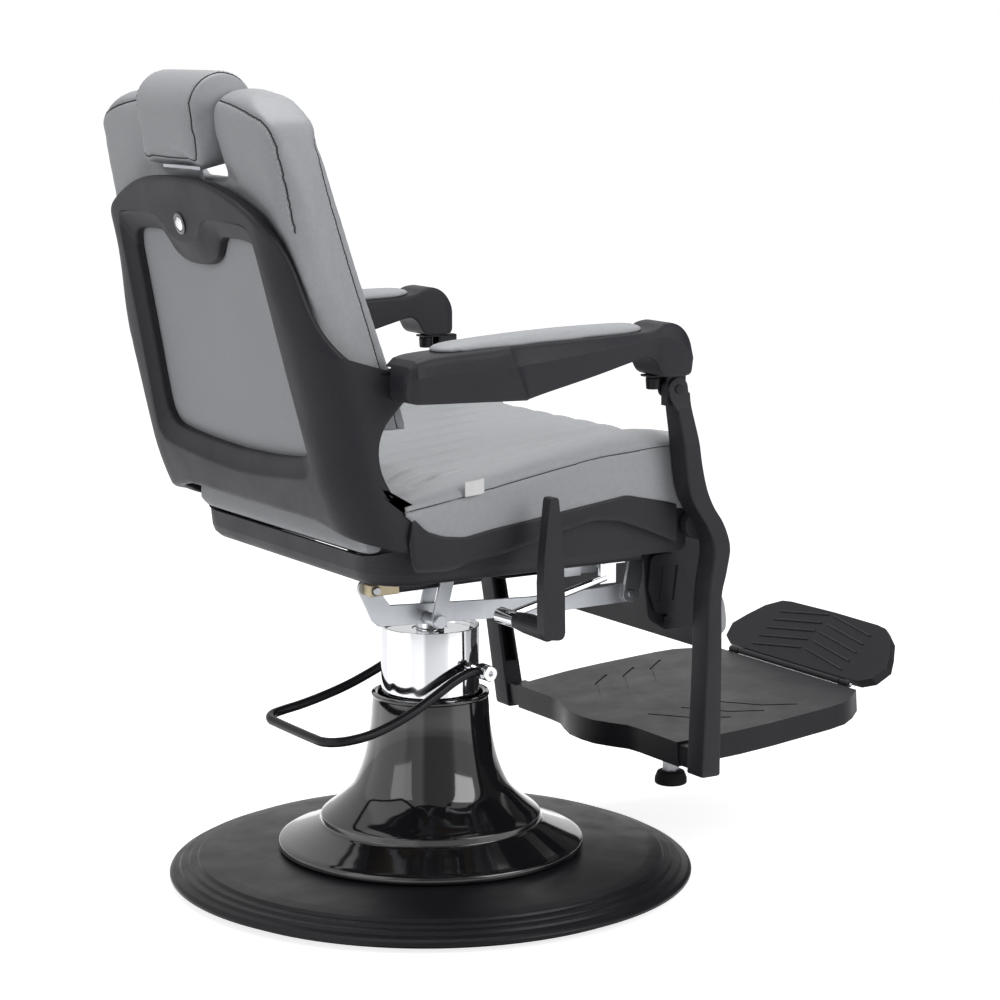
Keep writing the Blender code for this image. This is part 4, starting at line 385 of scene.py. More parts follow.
def finish(name, dark, light, rough, metallic=0.0, grain=None, lines=None, edges=None,
           specular=0.5, coat=0.0, marks=18.0):
    """A Principled finish from the groups: tone, grain, drawn lines, marks, rubbed edges."""
    made = bpy.data.materials.new(name)
    made.use_nodes = True
    tree = made.node_tree
    shader = tree.nodes["Principled BSDF"]
    shader.inputs["Metallic"].default_value = metallic
    shader.inputs["Specular IOR Level"].default_value = specular
    if coat:
        shader.inputs["Coat Weight"].default_value = coat
        shader.inputs["Coat Roughness"].default_value = 0.06
    wear = use(tree, smudge_group, (-600, 0), Scale=marks, Low=rough[0], High=rough[1])
    link(tree, wear.outputs["Roughness"], shader.inputs["Roughness"])
    mask = wear.outputs["Mask"]
    height = None
    if grain:
        scale, wrinkle, strength, depth = grain
        pebble = use(tree, grain_group, (-600, -300), Scale=scale, Wrinkle=wrinkle)
        height, mask = pebble.outputs["Height"], pebble.outputs["Tone"]
    if lines:
        scale, stretch, strength, depth = lines
        drawn = use(tree, brush_group, (-600, -300), Scale=scale, Stretch=stretch)
        height, mask = drawn.outputs["Lines"], drawn.outputs["Cloud"]
    if height:
        bump = add_node(tree, "ShaderNodeBump", (-250, -300))
        bump.inputs["Strength"].default_value = strength
        bump.inputs["Distance"].default_value = depth
        link(tree, height, bump.inputs["Height"])
        link(tree, bump.outputs["Normal"], shader.inputs["Normal"])
    color = toned(tree, mask, dark, light)
    if edges:
        worn, amount = edges
        rub = use(tree, edge_group, (-100, 500), Amount=amount)
        rub.inputs["Worn"].default_value = (*worn, 1)
        link(tree, color, rub.inputs["Base"])
        color = rub.outputs["Color"]
    link(tree, color, shader.inputs["Base Color"])
    return made


LEATHER = finish("grey_leather", (0.315, 0.325, 0.340), (0.385, 0.395, 0.410), (0.44, 0.54),
                 grain=(1500.0, 0.22, 0.22, 0.0004), specular=0.42, marks=9.0)
PANEL_LEATHER = finish("panel_leather", (0.325, 0.335, 0.350), (0.370, 0.380, 0.395), (0.50, 0.60),
                       grain=(1500.0, 0.22, 0.18, 0.0004), specular=0.35, marks=9.0)
PLASTIC = finish("charcoal_plastic", (0.020, 0.0195, 0.024), (0.029, 0.028, 0.034), (0.40, 0.52),
                 grain=(2100.0, 0.10, 0.30, 0.0003), edges=((0.12, 0.12, 0.13), 0.35), specular=0.22)
FOOT_PLASTIC = finish("footplate_black", (0.016, 0.016, 0.020), (0.024, 0.024, 0.029), (0.40, 0.52),
                      grain=(1700.0, 0.15, 0.28, 0.0003), edges=((0.11, 0.11, 0.12), 0.35), specular=0.22)
SATIN_BLACK = finish("satin_black_paint", (0.008, 0.008, 0.010), (0.013, 0.013, 0.016), (0.30, 0.42),
                     grain=(800.0, 0.5, 0.10, 0.0004), edges=((0.09, 0.09, 0.1), 0.3), specular=0.22)
GLOSS_BLACK = finish("gloss_black_paint", (0.006, 0.006, 0.007), (0.010, 0.010, 0.012),
                     (0.06, 0.12), specular=0.5, coat=0.8, marks=7.0)
CHROME = finish("chrome_plate", (0.72, 0.73, 0.75), (0.80, 0.81, 0.83), (0.03, 0.09), metallic=1.0,
                marks=22.0)
ZINC = finish("zinc_steel", (0.40, 0.42, 0.45), (0.56, 0.58, 0.61), (0.34, 0.48), metallic=0.85,
              lines=(70.0, 9.0, 0.12, 0.0003), edges=((0.75, 0.75, 0.76), 0.5))
BRASS = finish("yellow_passivate", (0.46, 0.38, 0.24), (0.60, 0.51, 0.34), (0.36, 0.46),
               metallic=0.6, lines=(90.0, 7.0, 0.1, 0.0003), edges=((0.8, 0.74, 0.6), 0.5))
RUBBER = finish("black_rubber", (0.012, 0.012, 0.013), (0.020, 0.020, 0.021), (0.60, 0.75),
                grain=(700.0, 0.6, 0.2, 0.0004), specular=0.3)
BOARD = finish("plywood", (0.36, 0.24, 0.13), (0.55, 0.40, 0.24), (0.6, 0.75),
               lines=(30.0, 12.0, 0.3, 0.0005), specular=0.2)
THREAD = finish("pale_thread", (0.44, 0.45, 0.47), (0.62, 0.63, 0.65), (0.6, 0.75),
                grain=(2600.0, 0.3, 0.5, 0.0003), specular=0.3)
# Colour of the seam cords: painted shade of the seams' grooves.
SEAM_SHADE_CORD = finish("seam_shadow", (0.030, 0.031, 0.034), (0.060, 0.061, 0.066), (0.7, 0.85),
              grain=(2400.0, 0.3, 0.3, 0.0003), specular=0.2)
LABEL = finish("label_ribbon", (0.74, 0.74, 0.73), (0.86, 0.86, 0.85), (0.65, 0.8),
               grain=(2400.0, 0.2, 0.5, 0.0003), specular=0.2)
SLOT_FINISH = {"satin_black": SATIN_BLACK, "gloss_black": GLOSS_BLACK, "charcoal_plastic": PLASTIC,
               "grey_leather": LEATHER, "chrome": CHROME, "zinc_steel": ZINC,
               "clevis_brass": BRASS, "black_rubber": RUBBER, "plywood": BOARD}
node_slot = {part["node"]: part["material_slot"] for part in frame["record"]["subparts"]}
for name, node in nodes.items():
    node.data.materials.clear()
    node.data.materials.append(SLOT_FINISH[node_slot[name]])
print("materials:", len(SLOT_FINISH) + 4)

# %% [markdown]
# Most pieces are drawn from a few lines: an outline with rounded corners, a smooth
# line through places, or a row of sections that a skin is stretched over. These
# helpers draw them.

# %% Lines and skins
def smooth_line(points, parts=6, closed=False):
    """A Catmull-Rom line through points of any dimension, with parts steps each."""
    spots = [Vector(p) for p in points]
    if closed:
        ring = [spots[-1]] + spots + spots[:2]
    else:
        ring = [spots[0] * 2 - spots[1]] + spots + [spots[-1] * 2 - spots[-2]]
    line = []
    for a, b, c, d in zip(ring, ring[1:], ring[2:], ring[3:]):
        for step in range(parts):
            t = step / parts
            line.append(0.5 * (2 * b + (c - a) * t + (2 * a - 5 * b + 4 * c - d) * t ** 2
                               + (3 * b - a - 3 * c + d) * t ** 3))
    return line if closed else line + [spots[-1]]


def rounded_line(corners, closed=True, count=6):
    """A line from (x, y, radius) corners; a corner without a radius stays sharp."""
    line = []
    last = len(corners) - 1
    for index, corner in enumerate(corners):
        here = Vector(corner[:2])
        radius = corner[2] if len(corner) > 2 else 0.0
        if radius <= 0 or (not closed and index in (0, last)):
            line.append(here)
            continue
        before = Vector(corners[index - 1][:2]) - here
        after = Vector(corners[(index + 1) % len(corners)][:2]) - here
        half = max(before.angle(after) / 2, 0.02)
        reach = min(radius / math.tan(half), before.length * 0.49, after.length * 0.49)
        start, end = here + before.normalized() * reach, here + after.normalized() * reach
        for step in range(count + 1):
            t = step / count
            line.append(start * (1 - t) ** 2 + here * 2 * t * (1 - t) + end * t ** 2)
    return line


def spread(line, count, closed=False):
    """Even points along a line, by length."""
    spots = [Vector(p) for p in line]
    if closed:
        spots.append(spots[0])
    lengths = [0.0]
    for a, b in zip(spots, spots[1:]):
        lengths.append(lengths[-1] + (b - a).length)
    even, index = [], 0
    stops = count if closed else count - 1
    for step in range(count):
        goal = lengths[-1] * step / stops
        while index < len(spots) - 2 and lengths[index + 1] < goal:
            index += 1
        run = lengths[index + 1] - lengths[index]
        share = (goal - lengths[index]) / run if run > 0 else 0.0
        even.append(spots[index].lerp(spots[index + 1], share))
    return even


def inset(outline, distance):
    """A closed 2-D outline moved inwards; it runs counter-clockwise."""
    moved = []
    for before, here, after in zip(outline[-1:] + outline[:-1], outline, outline[1:] + outline[:1]):
        run = after - before
        side = Vector((-run.y, run.x))
        moved.append(here + side.normalized() * distance if side.length > 0 else here.copy())
    return moved


def outward(form):
    """Turn all faces of a closed bmesh to the outside."""
    bmesh.ops.recalc_face_normals(form, faces=form.faces)
    if form.calc_volume(signed=True) < 0:
        bmesh.ops.reverse_faces(form, faces=form.faces)
    return form


def skin(rings, closed_rows=True, ends=True, closed_columns=False):
    """A bmesh of quads stretched over rings with the same number of points."""
    form = bmesh.new()
    rows = [[form.verts.new(p) for p in ring] for ring in rings]
    pairs = list(zip(rows, rows[1:]))
    if closed_columns:
        pairs.append((rows[-1], rows[0]))
    for first, second in pairs:
        count = len(first)
        for index in range(count if closed_rows else count - 1):
            after = (index + 1) % count
            form.faces.new((first[index], first[after], second[after], second[index]))
    if ends and closed_rows and not closed_columns:
        form.faces.new(rows[0][::-1])
        form.faces.new(rows[-1])
    return outward(form)


def lathe(profile, steps=128, closed=False, place=None):
    """A turned bmesh from (radius, height) points; place puts its axis somewhere."""
    form = bmesh.new()
    spots = [form.verts.new((p[0], 0, p[1])) for p in profile]
    edges = [form.edges.new(pair) for pair in zip(spots, spots[1:])]
    if closed:
        edges.append(form.edges.new((spots[-1], spots[0])))
    bmesh.ops.spin(form, geom=spots + edges, axis=(0, 0, 1), cent=(0, 0, 0),
                   angle=2 * math.pi, steps=steps, use_merge=True)
    bmesh.ops.remove_doubles(form, verts=form.verts, dist=1e-6)
    if place:
        bmesh.ops.transform(form, matrix=place, verts=form.verts)
    return outward(form)


def box_form(low, high):
    """A bmesh box between two corners."""
    form = bmesh.new()
    bmesh.ops.create_cube(form, size=1.0)
    size = [abs(b - a) for a, b in zip(low, high)]
    bmesh.ops.scale(form, vec=size, verts=form.verts)
    bmesh.ops.translate(form, vec=[(a + b) / 2 for a, b in zip(low, high)], verts=form.verts)
    return form


def slab(outline, low, high):
    """A bmesh of a (y, z) outline between two x values."""
    rings = [[(x, p[0], p[1]) for p in outline] for x in (low, high)]
    return skin(rings)


def joined(*forms):
    """Several closed shapes in one bmesh."""
    whole = bmesh.new()
    for form in forms:
        mesh = bpy.data.meshes.new("part")
        form.to_mesh(mesh)
        form.free()
        whole.from_mesh(mesh)
        bpy.data.meshes.remove(mesh)
    return whole


def bar(line, radius, sides=16, closed=False, flat=1.0):
    """A round bar along a line, with closed ends."""
    spots = [Vector(p) for p in line]
    rings = []
    side = None
    for index, spot in enumerate(spots):
        before = spots[index - 1] if index or closed else spot
        after = spots[(index + 1) % len(spots)] if index < len(spots) - 1 or closed else spot
        run = (after - before).normalized()
        if side is None:
            side = run.orthogonal().normalized()
        side = (side - run * side.dot(run)).normalized()
        up = run.cross(side)
        rings.append([spot + (side * math.cos(a) + up * flat * math.sin(a)) * radius
                      for a in (2 * math.pi * k / sides for k in range(sides))])
    return skin(rings, closed_columns=closed)


# %% [markdown]
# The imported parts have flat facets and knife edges. A real part has a small radius
# on every edge, which catches a line of light. So a rigid part that keeps its plain
# shape is shown by a finished copy: points merged, flat faces made whole again, and
# a Bevel modifier round the edges.

# %% Finished copies
def object_of(name, form, crisp=32.0):
    """An object from a bmesh, smooth except at edges sharper than crisp degrees."""
    mesh = bpy.data.meshes.new(name)
    form.to_mesh(mesh)
    form.free()
    obj = bpy.data.objects.new(name, mesh)
    scene.collection.objects.link(obj)
    mesh.shade_smooth()
    mesh.set_sharp_from_angle(angle=math.radians(crisp))
    return obj


def body_of(node):
    """The body that a part rides on."""
    return nodes[node]["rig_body"]


def dress(obj, material, body, slot_name, *replaced):
    """Give a piece its material and body, and name the parts it stands for; slot_name is not used."""
    obj.data.materials.clear()
    obj.data.materials.append(material)
    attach(obj, body)
    if replaced:
        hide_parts(*replaced)
    return obj


def soft_edges(obj, width, segments=2, angle=32.0):
    """A Bevel modifier, with normals weighted to the large faces."""
    step = obj.modifiers.new("soft_edges", "BEVEL")
    step.width = width
    step.segments = segments
    step.limit_method = "ANGLE"
    step.angle_limit = math.radians(angle)
    step.use_clamp_overlap = True
    weigh = obj.modifiers.new("even_normals", "WEIGHTED_NORMAL")
    weigh.keep_sharp = True
    return obj


def whole_form(node, flat=0.6):
    """A part's mesh with its points merged and its flat faces joined."""
    form = bmesh.new()
    form.from_mesh(nodes[node].data)
    bmesh.ops.remove_doubles(form, verts=form.verts, dist=2e-5)
    bmesh.ops.dissolve_limit(form, angle_limit=math.radians(flat), verts=form.verts,
                             edges=form.edges)
    return form


def finished(node, width, segments=2, angle=32.0, material=None):
    """A copy of a part with rounded edges, which stands for it."""
    obj = object_of(node + "_finished", whole_form(node), crisp=angle)
    soft_edges(obj, width, segments, angle)
    return dress(obj, material or SLOT_FINISH[node_slot[node]], body_of(node), node_slot[node],
                 node)


PLAIN_EDGES = {
    "bar_pin": 0.0006,
    "bar_strap_left": 0.0006, "bar_strap_right": 0.0006, "strap_bolt": 0.0006,
    "gas_spring_clevis": 0.0008, "gas_spring_cylinder": 0.0006, "gas_spring_rod": 0.0004,
    "headrest_guide": 0.0008, "headrest_post": 0.0006, "hook_bolt": 0.0006,
    "leg_cross_tube": 0.0008, "leg_plate_left": 0.0010, "leg_plate_right": 0.0010,
    "link_bar": 0.0008, "recline_lock": 0.0014, "seat_frame": 0.0010, "calf_shell": 0.0012,
    "lever_support": 0.0008,
    "lever_handle": 0.0010, "flip_plate": 0.0010, "footplate": 0.0010,
    "seat_shell": 0.0018, "pedal_shaft": 0.0006,
}
for node_name, width in PLAIN_EDGES.items():
    finished(node_name, width)
print("finished copies:", len(PLAIN_EDGES))

# %% [markdown]
# The recline pins end flush with the back frame's lugs. The lever's grip is a blade
# that gets narrower to its top, so the finished copy's points are moved towards a
# line near its rear edge.

# %% Recline pins and lever grip
SIDES = ((-1, "right"), (1, "left"))
RECLINE_PIVOT = Vector((0, 0.155, 0.518))
PIN_RADIUS = 0.0080
PIN_INNER, PIN_OUTER = 0.2480, 0.2766
GRIP_LOW = 0.395              # the blade starts here, above its bend
GRIP_INNER_X = -0.300
GRIP_MIDDLE = 0.30            # share of its width from the rear edge
GRIP_WIDTH_LOW, GRIP_NARROWING = 0.92, 0.30

for side, word in SIDES:
    across = Matrix.Translation(RECLINE_PIVOT) @ Matrix.Rotation(side * math.pi / 2, 4, "Y")
    ends = rounded_line([(0, PIN_INNER), (PIN_RADIUS, PIN_INNER), (PIN_RADIUS, PIN_OUTER, 0.0006),
                         (0, PIN_OUTER)], closed=False, count=3)
    dress(object_of("recline_pin_turned_" + word, lathe(ends, 40, place=across)), PLASTIC,
          body_of("recline_pin_" + word), node_slot["recline_pin_" + word], "recline_pin_" + word)

handle = bpy.data.objects["lever_handle_finished"]
grip = [v for v in handle.data.vertices if v.co.z > GRIP_LOW and v.co.x < GRIP_INNER_X]
grip_top = max(v.co.z for v in grip)
grip_rear = max(v.co.y for v in grip)
grip_front = min(v.co.y for v in grip)
for vert in grip:
    share = (vert.co.z - GRIP_LOW) / (grip_top - GRIP_LOW)
    middle = grip_rear - GRIP_MIDDLE * (grip_rear - grip_front)
    vert.co.y = middle + (vert.co.y - middle) * (GRIP_WIDTH_LOW - GRIP_NARROWING * share)
print("lever grip top:", round(grip_top, 3))

# %% [markdown]
# The base, the bell, the pump's chrome sleeve and the small round fittings are
# turned or spun parts, so each is a profile swept round its axis. The cover's rim
# has three shallow steps over a rolled edge. The bell is one gloss shell: a mouth
# round the sleeve, a long concave flank, a short upright step, and a skirt.

# %% Base and bell
cover_profile = rounded_line([
    (0.150, 0.0415), (0.200, 0.0405), (0.292, 0.0343, 0.02), (0.3108, 0.0322, 0.0022),
    (0.3132, 0.0284, 0.0016), (0.3228, 0.0272, 0.0022), (0.3252, 0.0240, 0.0016),
    (0.3348, 0.0230, 0.0022), (0.3372, 0.0194, 0.0016), (0.3455, 0.0172, 0.004),
    (0.3500, 0.0132, 0.004), (0.3500, 0.0090, 0.001), (0.3465, 0.0090, 0.001),
    (0.3440, 0.0115), (0.2980, 0.0303), (0.150, 0.0385)])
dress(object_of("base_cover_turned", lathe(cover_profile, 160, closed=True)), SATIN_BLACK,
      "base", "satin_black", "base_cover")

ring_low, ring_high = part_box("base_edge_ring")
ring_out, ring_top = ring_high.x, ring_high.z
ring_profile = rounded_line([(ring_out - 0.0115, 0, 0.001), (ring_out, 0, 0.002),
                             (ring_out, ring_top, 0.001), (ring_out - 0.0115, ring_top, 0.001)])
dress(object_of("base_edge_ring_turned", lathe(ring_profile, 128, closed=True)), RUBBER,
      "base", "black_rubber", "base_edge_ring")

flank = [(0.0772, 0.2450), (0.0782, 0.2330), (0.0800, 0.2100), (0.0842, 0.1823),
         (0.0910, 0.1548), (0.1024, 0.1272), (0.1134, 0.1134), (0.1292, 0.0996),
         (0.1400, 0.0915), (0.1452, 0.0872)]
skirt = [(0.1500, 0.0745), (0.1650, 0.0675), (0.1850, 0.0592), (0.1985, 0.0540)]
mouth = rounded_line([(0.0700, 0.2300), (0.0700, 0.2495, 0.0016), (0.0735, 0.2515, 0.0014),
                      (0.0790, 0.2500, 0.0018), (0.0785, 0.2468, 0.0012), (0.0772, 0.2450)],
                     closed=False)
step = rounded_line([(0.1452, 0.0872), (0.1472, 0.0852, 0.0022), (0.1472, 0.0772, 0.0026),
                     (0.1500, 0.0745)], closed=False)
hem = rounded_line([(0.1985, 0.0540), (0.2042, 0.0512, 0.0045), (0.2048, 0.0440, 0.003),
                    (0.2020, 0.0413, 0.001), (0.1970, 0.0413, 0.001), (0.1955, 0.0470)],
                   closed=False)
under = [(0.1800, 0.0555), (0.1500, 0.0700), (0.1300, 0.0930), (0.1080, 0.1100),
         (0.0840, 0.1500), (0.0745, 0.2000)]
bell_profile = (mouth + smooth_line(flank, 5)[1:] + step[1:] + smooth_line(skirt, 5)[1:]
                + hem[1:] + [Vector(p) for p in under])
dress(object_of("base_bell_turned", lathe(bell_profile, 192, closed=True)), GLOSS_BLACK,
      "base", "gloss_black", "base_bell")
print("base turned:", len(cover_profile), "and", len(bell_profile), "profile points")

# %% [markdown]
# The pump's sleeve, its cap and the ram are chromed tube and bar. Their edges have
# the small chamfer that a lathe leaves, which shows as a bright ring.

# %% Sleeve, cap and ram
sleeve_low, sleeve_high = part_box("chrome_sleeve")
tube_out = sleeve_high.x
tube_in = tube_out - 0.0025
sleeve_profile = rounded_line([(tube_in, sleeve_low.z, 0.0004), (tube_out, sleeve_low.z, 0.0006),
                               (tube_out, sleeve_high.z, 0.0009),
                               (tube_in, sleeve_high.z, 0.0006)], count=4)
dress(object_of("chrome_sleeve_turned", lathe(sleeve_profile, 128, closed=True)), CHROME,
      body_of("chrome_sleeve"), "chrome", "chrome_sleeve")
cap_low, cap_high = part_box("sleeve_cap")
cap_profile = rounded_line([(0.0190, cap_low.z, 0.0004), (cap_high.x, cap_low.z, 0.0004),
                            (cap_high.x, cap_high.z, 0.0010), (0.0245, cap_high.z, 0.0005),
                            (0.0235, cap_high.z - 0.0012, 0.0004),
                            (0.0190, cap_high.z - 0.0012, 0.0004)], count=4)
dress(object_of("sleeve_cap_turned", lathe(cap_profile, 96, closed=True)), CHROME,
      body_of("sleeve_cap"), "chrome", "sleeve_cap")
ram_low, ram_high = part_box("lift_ram")
ram_top = ram_high.z
ram_profile = rounded_line([(0, ram_low.z), (0.0185, ram_low.z, 0.001),
                            (0.0185, ram_top - 0.030, 0.0006), (0.0245, ram_top - 0.030, 0.0010),
                            (0.0245, ram_top - 0.026, 0.004), (0.0340, ram_top - 0.010, 0.0020),
                            (0.0340, ram_top, 0.0010), (0, ram_top)], closed=False, count=4)
dress(object_of("lift_ram_turned", lathe(ram_profile, 96)), CHROME, "seat", "chrome", "lift_ram")

# %% [markdown]
# The pedal is one bent round bar, looped behind the pump, with a boss at each end
# on the pump's cross shaft.

# %% Pedal
PEDAL_Y, PEDAL_Z = -0.035, 0.287
PEDAL_NEAR = 0.0795
pedal_route = [(PEDAL_NEAR, 0, 0.0), (PEDAL_NEAR, 0.020, 0.0010), (PEDAL_NEAR + 0.002, 0.045, -0.0070),
               (PEDAL_NEAR + 0.005, 0.075, -0.0215), (PEDAL_NEAR + 0.010, 0.110, -0.0370),
               (PEDAL_NEAR + 0.015, 0.145, -0.0490), (PEDAL_NEAR + 0.018, 0.178, -0.0575),
               (0.0965, 0.205, -0.0615), (0.0900, 0.225, -0.0635), (0.0740, 0.236, -0.0650),
               (0.0500, 0.238, -0.0655)]
pedal_right = [(-x, PEDAL_Y + y, PEDAL_Z + z) for x, y, z in pedal_route]
pedal_left = [(x, PEDAL_Y + y, PEDAL_Z + z) for x, y, z in pedal_route]
pedal_line = spread(smooth_line(pedal_right + pedal_left[::-1], 10), 180)
pedal_form = bar(pedal_line, 0.0062, 16)
dress(object_of("pedal_bar_bent", pedal_form, 40), SATIN_BLACK, "pedal", "satin_black", "pedal_bar")
for side in (-1, 1):
    turn_x = Matrix.Translation((0, PEDAL_Y, PEDAL_Z)) @ Matrix.Rotation(side * math.pi / 2, 4, "Y")
    boss = rounded_line([(0.0083, 0.0730), (0.0105, 0.0730, 0.0012), (0.0105, 0.0860, 0.0012),
                         (0.0083, 0.0860)], closed=False, count=4)
    dress(object_of("pedal_boss_%d" % (side + 2), lathe(boss, 48, closed=True, place=turn_x)),
          SATIN_BLACK, "pedal", "satin_black", "pedal_bar")
print("pedal:", len(pedal_line), "places along the bar")

# %% [markdown]
# The back frame is one deep plastic moulding. It is flat behind and wraps round the
# sides, where it carries the arms and the recline hinge. It is drawn flat, as path
# length round the back against height, and then bent. A sloped band leads from its
# face down into the window, and a tongue above it carries the headrest button, whose
# ring stands on the tongue's face.

# %% Back frame
BACK_SLOPE = 0.227
BACK_REF_Y, BACK_REF_Z = 0.293, 0.612
BACK_HALF_TOP, BACK_HALF_LOW = 0.250, 0.277
BACK_CORNER = 0.055
FRAME_RING = 0.022
FRAME_WEB = 0.0175
FRAME_EDGE = 0.0065
PIVOT_BACK = Vector((0.155, 0.518))
PIVOT_ARM = Vector((0.205, 0.700))


def back_face(z):
    """y of the frame's rear face at a height; its foot curls forward."""
    return BACK_REF_Y + BACK_SLOPE * (z - BACK_REF_Z) - 1.5 * max(0.0, 0.60 - z) ** 2


def back_half(z):
    """Half width of the frame: narrow behind the shoulders, wide at the arms."""
    t = min(1.0, max(0.0, (0.86 - z) / 0.14))
    return BACK_HALF_TOP + (BACK_HALF_LOW - BACK_HALF_TOP) * t * t * (3 - 2 * t)


def wrap(s, z, inward):
    """Bend a flat point (path length, height) round the back, sunk by inward."""
    side = -1 if s < 0 else 1
    run = abs(s)
    flat = back_half(z) - BACK_CORNER
    face = back_face(z)
    if run <= flat:
        return Vector((side * run, face - inward, z))
    turn = (run - flat) / BACK_CORNER
    if turn <= math.pi / 2:
        radius = BACK_CORNER - inward
        return Vector((side * (flat + radius * math.sin(turn)),
                       face - BACK_CORNER + radius * math.cos(turn), z))
    straight = run - flat - BACK_CORNER * math.pi / 2
    return Vector((side * (flat + BACK_CORNER - inward), face - BACK_CORNER - straight, z))


def side_spot(y, z):
    """A point of the frame's side, as (path length, height)."""
    return (back_half(z) - BACK_CORNER + BACK_CORNER * math.pi / 2 + back_face(z) - BACK_CORNER - y,
            z)


def frame_depth(s):
    """Wall of the frame: a deep ring behind, thinner webs at the sides."""
    t = min(1.0, max(0.0, (abs(s) - 0.200) / 0.045))
    return FRAME_RING + (FRAME_WEB - FRAME_RING) * t * t * (3 - 2 * t)


def arc_spots(center, radius, start, end, count):
    """Points of an arc in (y, z), laid on the frame's side."""
    spots = []
    for step in range(count + 1):
        angle = math.radians(start + (end - start) * step / count)
        spots.append(side_spot(center.x + radius * math.cos(angle),
                               center.y + radius * math.sin(angle)))
    return spots


outer_top = [(0.0, 0.9430), (0.060, 0.941), (0.110, 0.934), (0.165, 0.917), (0.205, 0.898),
             (0.232, 0.876)]
outer_side = ([(0.232, 0.876), side_spot(0.330, 0.852), side_spot(0.311, 0.795),
               side_spot(0.293, 0.760), side_spot(0.262, 0.732), side_spot(0.228, 0.7225)]
              + arc_spots(PIVOT_ARM, 0.022, 80, 235, 6)
              + [side_spot(y, z) for y, z in ((0.207, 0.668), (0.222, 0.650), (0.229, 0.627),
                                              (0.226, 0.600), (0.212, 0.572), (0.192, 0.549))]
              + arc_spots(PIVOT_BACK, 0.024, 60, 285, 8)
              + [side_spot(0.200, 0.497), side_spot(0.232, 0.507)])
outer_low = [side_spot(0.232, 0.507), (0.190, 0.5260), (0.150, 0.5290), (0.0, 0.5280)]
band_top = [(0.0, 0.8590), (0.020, 0.8600), (0.038, 0.8665), (0.052, 0.8780), (0.066, 0.8870),
            (0.085, 0.8905), (0.150, 0.8905), (0.176, 0.8870), (0.1870, 0.8720)]
band_side = [(0.1870, 0.8720), (0.1910, 0.8400), (0.2010, 0.7260), (0.2120, 0.6120),
             (0.2060, 0.5930)]
band_low = [(0.2060, 0.5930), (0.1860, 0.5840), (0.0900, 0.5745), (0.0, 0.5700)]
hole_top = [(0.0, 0.8330), (0.030, 0.8350), (0.055, 0.8440), (0.070, 0.8580), (0.080, 0.8680),
            (0.095, 0.8715), (0.140, 0.8705), (0.165, 0.8650), (0.1745, 0.8480)]
hole_side = [(0.1745, 0.8480), (0.1765, 0.8350), (0.1870, 0.7300), (0.1960, 0.6400),
             (0.1890, 0.6170)]
hole_low = [(0.1890, 0.6170), (0.1680, 0.6080), (0.0900, 0.6010), (0.0, 0.5980)]
COUNTS = (70, 150, 50)


def ring_line(parts):
    """A closed outline from the middle top round both sides, evenly matched."""
    half = []
    for part, count in zip(parts, COUNTS):
        half += spread(smooth_line(part, 8), count)[:-1]
    half.append(Vector(parts[-1][-1]))
    return half + [Vector((-p.x, p.y)) for p in half[-2:0:-1]]


outer_ring = ring_line((outer_top, outer_side, outer_low))
band_ring = ring_line((band_top, band_side, band_low))
hole_ring = ring_line((hole_top, hole_side, hole_low))


def between(first, second, share):
    """Points a share of the way from one ring to another."""
    return [a.lerp(b, share) for a, b in zip(first, second)]


def bent(ring, depth):
    """A flat ring bent round the back; depth is a number or 'wall' for the inner face."""
    return [wrap(p.x, p.y, frame_depth(p.x) - depth[1] if isinstance(depth, tuple) else depth)
            for p in ring]


frame_rings = []
for angle in range(0, 91, 15):
    turn = math.radians(angle)
    line = inset(outer_ring, -FRAME_EDGE * (1 - math.cos(turn)))
    frame_rings.append(bent(line, FRAME_EDGE * (1 - math.sin(turn))))
face_start = inset(outer_ring, -FRAME_EDGE)
for step in range(1, 15):
    share = step / 15
    frame_rings.append(bent(between(face_start, band_ring, share), 0.0))
for share, depth in ((-0.10, 0.0), (-0.03, 0.0003), (0.04, 0.0012), (0.12, 0.0026), (0.30, 0.0050),
                     (0.50, 0.0074), (0.70, 0.0095), (0.88, 0.0112), (0.96, 0.0124),
                     (1.00, 0.0142), (1.005, 0.0170), (1.005, 0.0220)):
    frame_rings.append(bent(between(band_ring, hole_ring, share), depth))
inner_start = inset(outer_ring, -FRAME_EDGE * 0.9)
for step in range(1, 15):
    share = 1 - step / 15
    frame_rings.append(bent(between(inner_start, hole_ring, share), ("wall", 0.0)))
for angle in range(0, 90, 18):
    turn = math.radians(angle)
    line = inset(outer_ring, -FRAME_EDGE * 0.9 * (1 - math.sin(turn)))
    frame_rings.append(bent(line, ("wall", FRAME_EDGE * 0.9 * (1 - math.cos(turn)))))
frame_form = skin(frame_rings, closed_columns=True)
back_frame = object_of("back_frame_moulded", frame_form, 40)

BUTTON_Z = 0.884
BACK_LEAN = math.atan(BACK_SLOPE)
button_place = Matrix.Translation((0, back_face(BUTTON_Z), BUTTON_Z)) @ Matrix.Rotation(
    -math.pi / 2 - BACK_LEAN, 4, "X")


def cut_out(obj, form):
    """Cut a bmesh shape out of a piece at once."""
    tool = object_of("cutter", form)
    step = obj.modifiers.new("cut_out", "BOOLEAN")
    step.operation = "DIFFERENCE"
    step.solver = "EXACT"
    step.object = tool
    bpy.context.view_layer.update()
    graph = bpy.context.evaluated_depsgraph_get()
    mesh = bpy.data.meshes.new_from_object(obj.evaluated_get(graph))
    obj.modifiers.remove(step)
    bpy.data.objects.remove(tool, do_unlink=True)
    obj.data = mesh
    return obj


